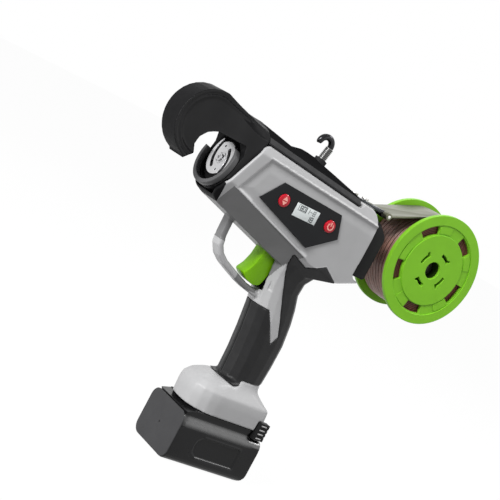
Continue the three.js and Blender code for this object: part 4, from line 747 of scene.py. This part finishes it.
def sculpt_head(points, normals):
    x, y, z = points.T
    side = np.sign(y)
    plan_x, plan_width = zip(*HEAD_PLAN)
    width = sum(np.interp(x + shift, plan_x, plan_width) for shift in PLAN_SHIFTS)
    width /= len(PLAN_SHIFTS)
    radial = HOOK_RADIUS - np.hypot(x - HOOK_X, z - HOOK_Z)
    top_x = HOOK_X + HOOK_RADIUS * cos(HEAD_TOP_ANGLE)
    top_z = HOOK_Z + HOOK_RADIUS * sin(HEAD_TOP_ANGLE)
    run = HOOK_RADIUS * (TOP_RUN - cos(HEAD_TOP_ANGLE))
    drop = HOOK_RADIUS * (sin(HEAD_TOP_ANGLE) - TOP_FALL)
    straight = (run * (top_z - z) - drop * (x - top_x)) / hypot(run, drop)
    from_edge = np.where(x > top_x, straight, radial)
    groove = GROOVE_DEPTH * np.exp(-((from_edge - GROOVE_PLACE) / GROOVE_WIDTH) ** 2)
    step = RING_STEP * smoothstep(RING_EDGE, RING_FOOT, from_edge)
    step *= 1 - smoothstep(*RING_REAR, x)
    sides = (np.abs(normals[:, 1]) > RIM_TURN) & (np.abs(y) > width - 1.5)
    result = points.copy()
    result[sides, 1] = (side * (width - groove - step))[sides]
    rim = (np.abs(radial) < HOOK_EDGE) & (x < top_x) & (np.abs(normals[:, 1]) < RIM_TURN)
    reach = np.maximum(HOOK_RADIUS - radial, 1)
    result[rim, 0] = (HOOK_X + (x - HOOK_X) * HOOK_RADIUS / reach)[rim]
    result[rim, 2] = (HOOK_Z + (z - HOOK_Z) * HOOK_RADIUS / reach)[rim]
    across, above = np.abs(result[:, 1]), z - ARCH_CENTRE
    reach = np.hypot(across, above)
    limit = np.interp(np.arctan2(across, above), ARCH_ANGLES, ARCH_RADII)
    over = np.maximum(0, reach - limit) * np.clip((x - ARCH_START) / ARCH_EASE, 0, 1) * (above > 0)
    scale = 1 - over / np.maximum(reach, 1)
    result[:, 1] *= scale
    result[:, 2] = ARCH_CENTRE + above * scale
    return result


def head_piece():
    piece = moulded(["head_casting"], "head", 0.6, 7,
                    finish=lambda mesh: reshape(mesh, sculpt_head))
    # the rim and top take the deeper black of painted shade
    paint(piece, "head_rim",
          lambda face: abs(face.normal.y) < RIM_TURN or face.normal.z > TOP_TURN)


# Battery: the shallow field in its side, with beads along its long edges
BATTERY_HALF = 29.5
BATTERY_FIELD = [(-15.6, 28.5), (24.8, 28.5), (24.8, 10.3), (-15.6, 10.3), (-20, 13.5),
                 (-21.3, 19.4), (-20, 25.3)]
FIELD_DEPTH, FIELD_SLOPE, FIELD_LEVEL = 0.9, 0.9, 19.4
BEAD_HEIGHT, BEAD_WIDTH, BEAD_OUT = 0.55, 0.75, 0.5
BEAD_FRONT, BEAD_REAR, BEAD_GAP = (-17, -14), (24, 26), 6
# The front of the lid slopes down to the nose
BATTERY_FRONT, NOSE_HEIGHT, NOSE_SLOPE, NOSE_REACH = -42.5, 43.3, 0.25, -31
# The shoulders along the sides are rounded most, and given a painted sheen: a glossier look whose
# gloss grows where they turn upwards
EASE_REAR, EASE_WIDE, EASE_LOW, EASE_HIGH = (26, 36), (21, 24), (29.5, 33), (42, 44)
SHOULDER_ROUNDS = 110
SHOULDER_LOW, SHOULDER_HIGH, SHOULDER_TURN = 32.5, 41.5, 0.1
# The hairline between the case and the lid is closed
SEAM_LOW, SEAM_HIGH, SEAM_LIFT = 33.8, 34.15, 0.5


def close_seam(points, normals):
    result = points.copy()
    rim = (points[:, 2] > SEAM_LOW) & (points[:, 2] < SEAM_HIGH)
    result[rim, 2] += SEAM_LIFT
    return result


def shoulder_share(points):
    x, y, z = points.T
    ends = (1 - smoothstep(*EASE_REAR, x)) * smoothstep(*EASE_WIDE, np.abs(y))
    return smoothstep(*EASE_LOW, z) * (1 - smoothstep(*EASE_HIGH, z)) * ends


def sculpt_battery(points, normals):
    x, y, z = points.T
    side = np.sign(y)
    inside = -outline_distance(x, z, BATTERY_FIELD)
    bead = BEAD_HEIGHT * np.exp(-((inside + BEAD_OUT) / BEAD_WIDTH) ** 2)
    bead *= smoothstep(*BEAD_FRONT, x) * (1 - smoothstep(*BEAD_REAR, x))
    bead *= smoothstep(0, 3, np.abs(z - FIELD_LEVEL) - BEAD_GAP)
    field = FIELD_DEPTH * smoothstep(0, FIELD_SLOPE, inside)
    near = (np.abs(y) > BATTERY_HALF - 1.4) & (inside > -2.5) & (inside < 2)
    result = points.copy()
    nose = NOSE_HEIGHT + NOSE_SLOPE * (x - BATTERY_FRONT)
    result[:, 2] = np.where((z > nose) & (x < NOSE_REACH), nose, z)
    result[near, 1] = (side * (BATTERY_HALF - field + bead))[near]
    return result


def finish_battery(mesh):
    relax(mesh, shoulder_share, SHOULDER_ROUNDS)
    reshape(mesh, sculpt_battery)


def on_shoulder(face):
    turned_out = face.normal.z > SHOULDER_TURN and abs(face.normal.y) > SHOULDER_TURN
    return turned_out and SHOULDER_LOW * MM < face.center.z < SHOULDER_HIGH * MM


def battery_piece():
    piece = moulded(["battery_case", "battery_lid"], "battery", 0.6, 2, close_seam,
                    finish_battery)
    # the shoulders take the painted sheen
    paint(piece, "battery_edge", on_shoulder)


# The battery's front: a flat plate with a round edge and a small dimple
FRONT_HALF, FRONT_LOW, FRONT_HIGH, FRONT_CORNER = 29.3, 0.3, 43.0, 8.8
FRONT_X, FRONT_THICK, FRONT_EDGE = -42.3, 1.3, 0.45


def battery_front_piece():
    y = FRONT_HALF - FRONT_CORNER
    high, low = FRONT_HIGH - FRONT_CORNER, FRONT_CORNER + FRONT_LOW
    loop = []
    for start, centre in ((0, (y, high)), (90, (-y, high)), (180, (-y, low)), (270, (y, low))):
        loop += arc(FRONT_CORNER, start, start + 90, 12, centre)
    dimple = circle(0.9, 24, (0, FRONT_HIGH / 2))
    face = plane_at(NEAR, UPWARD, Vector((FRONT_X, 0, 0)))
    new_piece("battery_front", plate_mesh([loop, dimple], FRONT_THICK, FRONT_EDGE, face),
              "battery_face", "battery_case", addition=True)


# Battery latches: a shade smaller than their slots, to move freely, with ribs for the thumb, drawn
# light grey as a painted highlight on the black latch
LATCH_SHARE = 0.95
RIB_LEVELS = (42.4, 46.4, 50.0, 53.9)
RIB_PLACES, RIB_RADII, RIB_Y = (33.4, 33.9, 36.3, 38.7, 39.2), (0.25, 0.6, 0.6, 0.6, 0.25), 27.6


def latch_pieces(side, node):
    vertices = machined(node, "black").data.vertices
    centre = sum((vertex.co for vertex in vertices), Vector()) / len(vertices)
    for vertex in vertices:
        vertex.co = centre + (vertex.co - centre) * LATCH_SHARE
    ribs = [bar([Vector((x, side * RIB_Y, z)) for x in RIB_PLACES], RIB_RADII, 10, lambda p: UPWARD)
            for z in RIB_LEVELS]
    new_piece(f"{node}_ribs", joined_mesh(*ribs), "rib", node, addition=True,
              slot=SLOTS["snout_bezel"])


# Twist rotor: a disc with two arms and, between them and the disc, two slots that are arcs.
# One half of its outline is turned round for the other.
ROTOR_THICK, ROTOR_EDGE = 4, 0.16
ROTOR_DISC, ARM_RISE, TIP_ANGLE, RISE_SWEEP, RIM_END = 15, 4.9, 50, 111, -130
SLOT_X, SLOT_Z, SLOT_RADIUS = 8.5, 6.9, 20.1
SLOT_CLOSED, SLOT_INNER_END, SLOT_OUTER_END = -51, 14.5, 21
SLOT_HALF, SLOT_WIDENS = 1.55, 0.35
SLOT_STEPS = 24
PIN_HOLE, PIN_PLACE, PIN_TURNS = 0.95, 10.8, (69, -111)


def spoke(radius, angle):
    return -radius * cos(angle), radius * sin(angle)


def slot_point(angle, side):
    half = SLOT_HALF + SLOT_WIDENS * (angle - SLOT_CLOSED) / (SLOT_OUTER_END - SLOT_CLOSED)
    dx, dz = spoke(SLOT_RADIUS + side * half, radians(angle))
    return SLOT_X + dx, SLOT_Z + dz


def rotor_outline():
    shares = [i / SLOT_STEPS for i in range(SLOT_STEPS + 1)]
    half_turn = []
    for share in shares:
        angle = TIP_ANGLE + (RIM_END - TIP_ANGLE) * share
        rise = max(0, 1 + (angle - TIP_ANGLE) / RISE_SWEEP)
        half_turn.append(spoke(ROTOR_DISC + ARM_RISE * rise * rise, radians(angle)))
    slot = [slot_point(SLOT_INNER_END + (SLOT_CLOSED - SLOT_INNER_END) * share, -1)
            for share in shares]
    x, z = slot_point(SLOT_CLOSED, 0)
    closed = radians(SLOT_CLOSED)
    for turn in (radians(30 * k) for k in range(1, 6)):
        out, back = -cos(turn) * SLOT_HALF, sin(turn) * SLOT_HALF
        slot.append((x - out * cos(closed) - back * sin(closed),
                     z + out * sin(closed) - back * cos(closed)))
    slot += [slot_point(SLOT_CLOSED + (SLOT_OUTER_END - SLOT_CLOSED) * share, 1)
             for share in shares]
    half_turn += [(-a, -b) for a, b in slot]
    return half_turn + [(-a, -b) for a, b in half_turn]


def rotor_piece():
    middle = plane_at(NEAR, RISING, ROTOR - AHEAD * (ROTOR_THICK / 2))
    holes = [arc(PIN_HOLE, 0, 348, 11, spoke(PIN_PLACE, radians(turn)))
             for turn in PIN_TURNS]
    disc = plate_mesh([rotor_outline(), *holes], ROTOR_THICK, ROTOR_EDGE, middle)
    front = plane_at(NEAR, RISING, ROTOR)
    ring = turned(tube_profile(4.5, 5.1, -0.5, 0.45), 40, front, 25)
    new_piece("rotor_plate", joined_mesh(disc, ring), "rotor", "twist_rotor")


# The rotor's cross-headed screw
CROSS_HALF, CROSS_REACH = 0.45, 1.9
SCREW_RADIUS, SCREW_THICK, SCREW_LIFT = 3.3, 1.1, 1.05


def rotor_screw_piece():
    front = plane_at(NEAR, RISING, ROTOR)
    w, r = CROSS_HALF, CROSS_REACH
    cross = [(w, r), (w, w), (r, w), (r, -w), (w, -w), (w, -r),
             (-w, -r), (-w, -w), (-r, -w), (-r, w), (-w, w), (-w, r)]
    lifted = front @ Matrix.Translation((0, 0, SCREW_LIFT * MM))
    head = plate_mesh([circle(SCREW_RADIUS, 45), cross], SCREW_THICK, 0.3, lifted)
    shank = turned([(0, -11), (1.6, -11), (1.6, 0.2), (3.1, 0.35), (3.1, 0.75), (0, 0.75)], 24,
                   front)
    new_piece("rotor_screw_head", joined_mesh(head, shank), "rotor", "rotor_screw")


# Bezel: a satin band round the rotor's recess, narrowing to its upper end
BEZEL_OUTER, BEZEL_INNER, BEZEL_CENTRE = 24, 20.2, (0, -2)
BEZEL_START, BEZEL_END, BEZEL_TAPER, BEZEL_TIP = 168, 400, 28, 0.25
BEZEL_STEPS, BEZEL_AHEAD, BEZEL_THICK, BEZEL_EDGE = 60, 1.5, 5, 0.7


def bezel_piece():
    outer, inner = [], []
    for k in range(BEZEL_STEPS + 1):
        angle = BEZEL_START + (BEZEL_END - BEZEL_START) * k / BEZEL_STEPS
        narrow = min(1, (BEZEL_END - angle) / BEZEL_TAPER + BEZEL_TIP)
        width = (BEZEL_OUTER - BEZEL_INNER) * narrow
        outer.append(ring_point(BEZEL_INNER + width, angle, BEZEL_CENTRE))
        inner.append(ring_point(BEZEL_INNER, angle, BEZEL_CENTRE))
    face = plane_at(NEAR, RISING, ROTOR + AHEAD * BEZEL_AHEAD)
    new_piece("bezel_band", plate_mesh([outer + inner[::-1]], BEZEL_THICK, BEZEL_EDGE, face),
              "bezel", "snout_bezel")


# Spool: flanges with a raised rim and hub, windows with stepped lands between them, and hooked
# small slots
FLANGE_RADIUS, FLANGE_INNER_Y, FLANGE_STEP_Y, FLANGE_OUTER_Y = 50, 21.3, 24.3, 25.3
RIM_INNER, HUB_DISC, BORE = 41.2, 32.2, 7.75
WINDOW_COUNT, WINDOW_BAND = 5, (36.55, 7.7)
WINDOW_START, WINDOW_ANGLE, WINDOW_PITCH = 41, 28, 72
LAND_BAND, LAND_THICK, LAND_START, LAND_END = (36.8, 6.8), 0.9, 50, 70.8
HOOK_COUNT, HOOK_BAND = 4, (15.5, 2.8)
HOOK_START, HOOK_ANGLE, HOOK_PITCH, HOOK_SPUR = 43, 40, 90, 1.8
# The raised parts reach this far into the disc
RAISED_SINK = 0.4
DRUM, HUB_OUTER, TUBE_START, TUBE_END = (27.5, 30), 11, 0.2, 21.4
# A tube of painted shade inside the bore: its radii and its end
BORE_SHADE, BORE_SHADE_END = (BORE - 0.3, BORE + 0.4), 23


def hooked_slot(start):
    radius, width = HOOK_BAND
    inner, outer = radius - width / 2, radius + width / 2
    end = start + HOOK_ANGLE
    spur = arc(outer + HOOK_SPUR, start, start + 6, 2)
    return spur + arc(outer, start + 9, end, 10) + arc(inner, end, start, 12)


def flange_piece(node, side):
    def level(loops, low, high, edge):
        middle = near_plane(SPOOL.x, side * (low + high) / 2, SPOOL.z)
        return plate_mesh(loops, high - low, edge, middle)

    disc, bore = circle(FLANGE_RADIUS, 120), circle(BORE, 45)
    starts = [WINDOW_START + WINDOW_PITCH * i for i in range(WINDOW_COUNT)]
    windows = [band(*WINDOW_BAND, start, start + WINDOW_ANGLE, 10) for start in starts]
    lands = [band(*LAND_BAND, start + LAND_START, start + LAND_END, 6) for start in starts]
    hooks = [hooked_slot(HOOK_START + HOOK_PITCH * i) for i in range(HOOK_COUNT)]
    raised = FLANGE_STEP_Y - RAISED_SINK
    axis = spool_axis(side)
    meshes = [
        level([disc, bore, *windows, *hooks], FLANGE_INNER_Y, FLANGE_STEP_Y, 0.3),
        level([disc, circle(RIM_INNER, 120)], raised, FLANGE_OUTER_Y, 0.4),
        level([circle(HUB_DISC, 120), bore, *hooks], raised, FLANGE_OUTER_Y, 0.35),
        level(lands, raised, raised + LAND_THICK, 0.2),
        turned(tube_profile(*DRUM, TUBE_START, TUBE_END), 72, axis),
        turned(tube_profile(BORE, HUB_OUTER, TUBE_START, TUBE_END), 48, axis),
    ]
    # A dark green tube lines the bore: painted shade inside the hub
    bore_shade_tube = turned(tube_profile(*BORE_SHADE, TUBE_START, BORE_SHADE_END), 44, axis)
    new_piece(f"{node}_liner", bore_shade_tube, "bore_shade_look", node, addition=True)
    new_piece(f"{node}_flange", joined_mesh(*meshes), "green", node)


# Wire: full turns over the core, a wire's width apart, wandering in waves across and in depth,
# each with its reach, its rate and, across, its start
WIRE_RADIUS, WINDING_RADIUS, WINDING_HALF = 0.74, 43.4, 19.109
WINDING_TURNS, TURN_STEPS = 18, 60
ACROSS_WAVES, DEPTH_REACH, DEPTH_RATE = ((0.2, 0.5, 0), (0.12, 0.113, 2)), 0.05, 0.71
# Below the turns, the core with a shallow ridge for each turn of the layer under them
CORE_INNER, CORE_HALF, CORE_RIDGES, RIDGE_FOOT, RIDGE_TOP = 30.5, 20.8, 19, 2.4, 1.6


def winding_piece():
    points = []
    count = WINDING_TURNS * TURN_STEPS
    for i in range(count + 1):
        angle = 2 * pi * i / TURN_STEPS
        wander = sum(reach * sin(angle * rate + start) for reach, rate, start in ACROSS_WAVES)
        radius = WINDING_RADIUS + DEPTH_REACH * sin(angle * DEPTH_RATE)
        across = WINDING_HALF * (2 * i / count - 1) + wander
        points.append(SPOOL + Vector((radius * cos(angle), across, radius * sin(angle))))
    turns = bar(points, [WIRE_RADIUS] * len(points), 8,
                lambda p: Vector((p.x - SPOOL.x, 0, p.z - SPOOL.z)))
    new_piece("wire_turns", turns, "wire", "wire_winding")
    foot, top = WINDING_RADIUS - RIDGE_FOOT, WINDING_RADIUS - RIDGE_TOP
    profile = [(CORE_INNER, -CORE_HALF)]
    for k in range(CORE_RIDGES):
        low = -CORE_HALF + 2 * CORE_HALF * k / CORE_RIDGES
        high = -CORE_HALF + 2 * CORE_HALF * (k + 1) / CORE_RIDGES
        profile += [(foot, low), (top, (low + high) / 2)]
    profile += [(foot, CORE_HALF), (CORE_INNER, CORE_HALF), (CORE_INNER, -CORE_HALF)]
    new_piece("wire_layers", turned(profile, 72, spool_axis(1), 60), "deep", "wire_core")


# The wound wire seen through the flanges' windows: the ends of its layers
LAYER_COUNT, LAYER_START, LAYER_PITCH, LAYER_HALF = 8, 32, 1.45, 0.7
LAYER_FACES, LAYER_CROWN, LAYER_DEPTH = (-20.85, 20.25), 0.1, 0.6


def layer_ends_piece():
    meshes = []
    for low in LAYER_FACES:
        high = low + LAYER_DEPTH
        for k in range(LAYER_COUNT):
            radius = LAYER_START + LAYER_PITCH * k
            inner, outer = radius - LAYER_HALF, radius + LAYER_HALF
            profile = [(inner, low), (radius, low + LAYER_CROWN), (outer, low),
                       (outer, high), (radius, high - LAYER_CROWN), (inner, high), (inner, low)]
            meshes.append(turned(profile, 72, spool_axis(1), 60))
    new_piece("wire_layer_ends", joined_mesh(*meshes), "core", "wire_core", addition=True)


# Control panel: a thick plate with holes for buttons and display
PANEL = on_body([(0.778, 0.51), (0.678, 0.744), (0.265, 0.705), (0.215, 0.466), (0.376, 0.256)])
MODE_PLACE, POWER_PLACE = on_body([(0.638, 0.585), (0.304, 0.551)])
PANEL_FACE, PANEL_BACK = 28.9, 26.7
BUTTON_HOLE = 5.75
DISPLAY_X, DISPLAY_Z, DISPLAY_HALF_X, DISPLAY_HALF_Z = -31.256, 231.0, 12.5, 5.9


def panel_piece():
    holes = [circle(BUTTON_HOLE, 36, place) for place in (MODE_PLACE, POWER_PLACE)]
    holes.append([(DISPLAY_X + right * DISPLAY_HALF_X, DISPLAY_Z + up * DISPLAY_HALF_Z)
                  for right, up in ((-1, -1), (1, -1), (1, 1), (-1, 1))])
    middle = near_plane(0, -(PANEL_FACE + PANEL_BACK) / 2, 0)
    plate = plate_mesh([PANEL, *holes], PANEL_FACE - PANEL_BACK, 0.25, middle)
    new_piece("panel_plate", plate, "panel", "control_panel")


# Buttons: a domed cap with its sign on top
CAP_RADIUS, CAP_RIM, CAP_RISE, CAP_SKIRT = 5.4, 0.35, 1.05, 0.4
SIGN_Y, SIGN_THICK = -30.14, 0.3
MODE_SIGN = [[(-2.5, 0.4), (2.5, 0.4), (0, 3.7)], [(-2.5, -0.4), (0, -3.7), (2.5, -0.4)]]
POWER_SIGN = [band(2.7, 0.95, 125, 415, 18), [(-0.5, 0.3), (0.5, 0.3), (0.5, 3.7), (-0.5, 3.7)]]


def button_pieces(node, place, sign_loops):
    x, z = place
    dome = [(CAP_RADIUS * sin(turn), CAP_RIM + CAP_RISE * cos(turn))
            for turn in (radians(angle) for angle in range(12, 91, 13))]
    profile = [(0, CAP_RIM + CAP_RISE), *dome, (CAP_RADIUS, -CAP_SKIRT), (0, -CAP_SKIRT)]
    cap = turned(profile, 40, near_plane(x, -PANEL_FACE, z), 40)
    new_piece(f"{node}_cap", cap, "red", node)
    sign = plate_mesh(sign_loops, SIGN_THICK, 0.05, near_plane(x, SIGN_Y, z))
    new_piece(f"{node}_sign", sign, "sign", node, addition=True)


# Display: figures made of seven bars, and lines round the first of them
SEGMENTS = {
    "a": ((0, 2), (1, 2)), "b": ((1, 2), (1, 1)), "c": ((1, 1), (1, 0)), "d": ((0, 0), (1, 0)),
    "e": ((0, 1), (0, 0)), "f": ((0, 2), (0, 1)), "g": ((0, 1), (1, 1)),
}
FIGURES = {"0": "abcdef", "1": "bc", "8": "abcdefg", "-": "g"}
FIGURE_PITCH = 1.6
# Text, left, low, width, height and stroke
DISPLAY_TEXTS = (
    ("80", -7.6, 0.95, 1.9, 3.4, 0.6),
    ("1-8", -0.1, 0.9, 2.0, 3.7, 0.45),
    ("18", 3.0, -4.7, 2.1, 3.9, 0.6),
)
# Left, low, right and high
DISPLAY_LINES = [(-9.6, 0.05, -1.0, 0.35), (-9.6, 4.95, -1.0, 5.25), (-9.6, 0.35, -9.3, 4.95),
                 (-1.8, 0.35, -0.9, 4.95)]
BARS_Y, BARS_HEIGHT, BARS_INSET = -28.82, 0.16, 0.04


def figure_bars(text, left, low, width, height, stroke):
    bars = []
    half = stroke / 2
    for place, figure in enumerate(text):
        start = left + place * width * FIGURE_PITCH
        for key in FIGURES[figure]:
            (ax, ay), (bx, by) = SEGMENTS[key]
            x1, x2 = start + min(ax, bx) * width, start + max(ax, bx) * width
            y1, y2 = low + min(ay, by) * height / 2, low + max(ay, by) * height / 2
            bars.append((x1 - half, y1 - half, x2 + half, y2 + half))
    return bars


def bars_mesh(bars, matrix):
    mesh = bpy.data.meshes.new("bars")
    with edited(mesh) as work:
        for x1, y1, x2, y2 in bars:
            rings = []
            for level, inset in ((0, 0), (BARS_HEIGHT, BARS_INSET)):
                left, low, right, high = x1 + inset, y1 + inset, x2 - inset, y2 - inset
                rings.append([(x * MM, y * MM, level * MM) for x, y in (
                    (left, low), (right, low), (right, high), (left, high))])
            closed_rings(work, rings)
    mesh.transform(matrix)
    return mesh


def display_figures_piece():
    bars = [one for values in DISPLAY_TEXTS for one in figure_bars(*values)] + DISPLAY_LINES
    face = near_plane(DISPLAY_X, BARS_Y, DISPLAY_Z)
    new_piece("display_figures", bars_mesh(bars, face), "ink", "display", addition=True)


# Hanging hook: a round bar in a bend with a thin tip, on a ringed collar
HANGER_FOOT = Vector((-22.52, 0, 275.0032))
HANGER_LEVELS = (-7, -3, 2, 6, 10)
HANGER_BEND, BEND_LEVEL, HANGER_SWEEP = 6.4, 10.95, range(0, 201, 8)
HANGER_RADIUS, HANGER_TIP = 2.75, (2.65, 2.4, 1.9)
COLLAR_RINGS, COLLAR_PITCH, COLLAR_NECK, COLLAR_CREST = 7, 1.4, 3.0, 3.6
# A ring's rise from neck to crest and back
COLLAR_RISES = (1.5, 1.8, 2.3, 2.6)


def hanger_pieces():
    path = [(0, up) for up in HANGER_LEVELS]
    path += [(HANGER_BEND - HANGER_BEND * cos(turn), BEND_LEVEL + HANGER_BEND * sin(turn))
             for turn in map(radians, HANGER_SWEEP)]
    points = [HANGER_FOOT + AHEAD * across + RISING * up for across, up in path]
    radii = [HANGER_RADIUS] * (len(points) - len(HANGER_TIP)) + [*HANGER_TIP]
    new_piece("hanging_hook_bar", bar(points, radii, 20, lambda p: FAR), "hook", "hanging_hook")
    profile = [(0, 0.3), (3.5, 0.3), (COLLAR_CREST, 0.4), (COLLAR_CREST, 0.9), (3.1, 1.1)]
    for k in range(COLLAR_RINGS):
        profile += [(radius, rise + COLLAR_PITCH * k) for radius, rise in zip(
            (COLLAR_NECK, COLLAR_CREST, COLLAR_CREST, COLLAR_NECK), COLLAR_RISES)]
    profile += [(2.9, 11.2), (0, 11.3)]
    standing = plane_at(FAR, AHEAD, HANGER_FOOT)
    new_piece("hanging_hook_collar", turned(profile, 28, standing, 35), "collar",
              "hanging_hook", addition=True)


# Top cover: a charcoal band along its sides and black above; the faces turned upwards are drawn a
# deeper black with no gloss, painted shade
COVER_TURN = 0.8


def cover_piece():
    piece = machined("top_cover", "cover_band", 0.8, 20, 14)
    paint(piece, "cover_top", lambda face: face.normal.z > COVER_TURN)


# The other nodes, machined: look, the chamfer's width in millimetres, and nodes
OTHERS = (
    ("black", 0.5, "rear_cover spool_arm"), ("lcd", 0.15, "display"), ("trigger", 1.0, "trigger"),
    ("black", 0.15, "shear_plate"), ("rotor", 0.15, "hook_guide"),
    ("steel", 0.2, "pressure_plate"), ("dark", 0.25, "plate_bracket"), ("screw", 0.2, "plate_pin"),
    ("screw", 0.25, "bracket_screw_1 bracket_screw_2"),
    ("dark", 0.25, "arm_screw_1 arm_screw_2 housing_screw_1 housing_screw_2 housing_screw_3"),
    ("steel", 0.4, "spool_shaft"), ("steel", 0.25, "wire_inlet"), ("black", 0.3, "trigger_switch"),
    ("steel", 0.1, "feed_tube"), ("bronze", 0.2, "rotor_bearing"), ("dark", 0.3, "twist_gearbox"),
    ("steel", 0.5, "twist_motor feed_motor"), ("steel", 0.2, "feed_frame"),
    ("dark", 0.2, "pinch_lever"), ("gear", 0.15, "feed_gear feed_pinion"),
    ("steel", 0.3, "feed_roller pinch_roller"), ("steel", 0.2, "rotor_shaft"),
    ("board", 0.1, "circuit_board"), ("steel", 0.2, "trigger_pin"),
    ("black", 0.2, "foot_terminals"),
    ("cell", 0.6, "battery_cell_1 battery_cell_2 battery_cell_3 battery_cell_4 battery_cell_5"),
)


def make_pieces():
    housing_piece()
    for node in ("grip_left", "grip_right"):
        moulded([node], "rubber", 0.6, 4)
    head_piece()
    battery_piece()
    cover_piece()
    rotor_piece()
    rotor_screw_piece()
    bezel_piece()
    flange_piece("spool_near_half", -1)
    flange_piece("spool_far_half", 1)
    winding_piece()
    layer_ends_piece()
    hanger_pieces()
    panel_piece()
    display_figures_piece()
    battery_front_piece()
    latch_pieces(-1, "battery_latch_left")
    latch_pieces(1, "battery_latch_right")
    button_pieces("mode_button", MODE_PLACE, MODE_SIGN)
    button_pieces("power_button", POWER_PLACE, POWER_SIGN)
    for look, edge, nodes in OTHERS:
        for node in nodes.split():
            machined(node, look, edge)


make_camera()
make_light()
make_floor()
make_pieces()
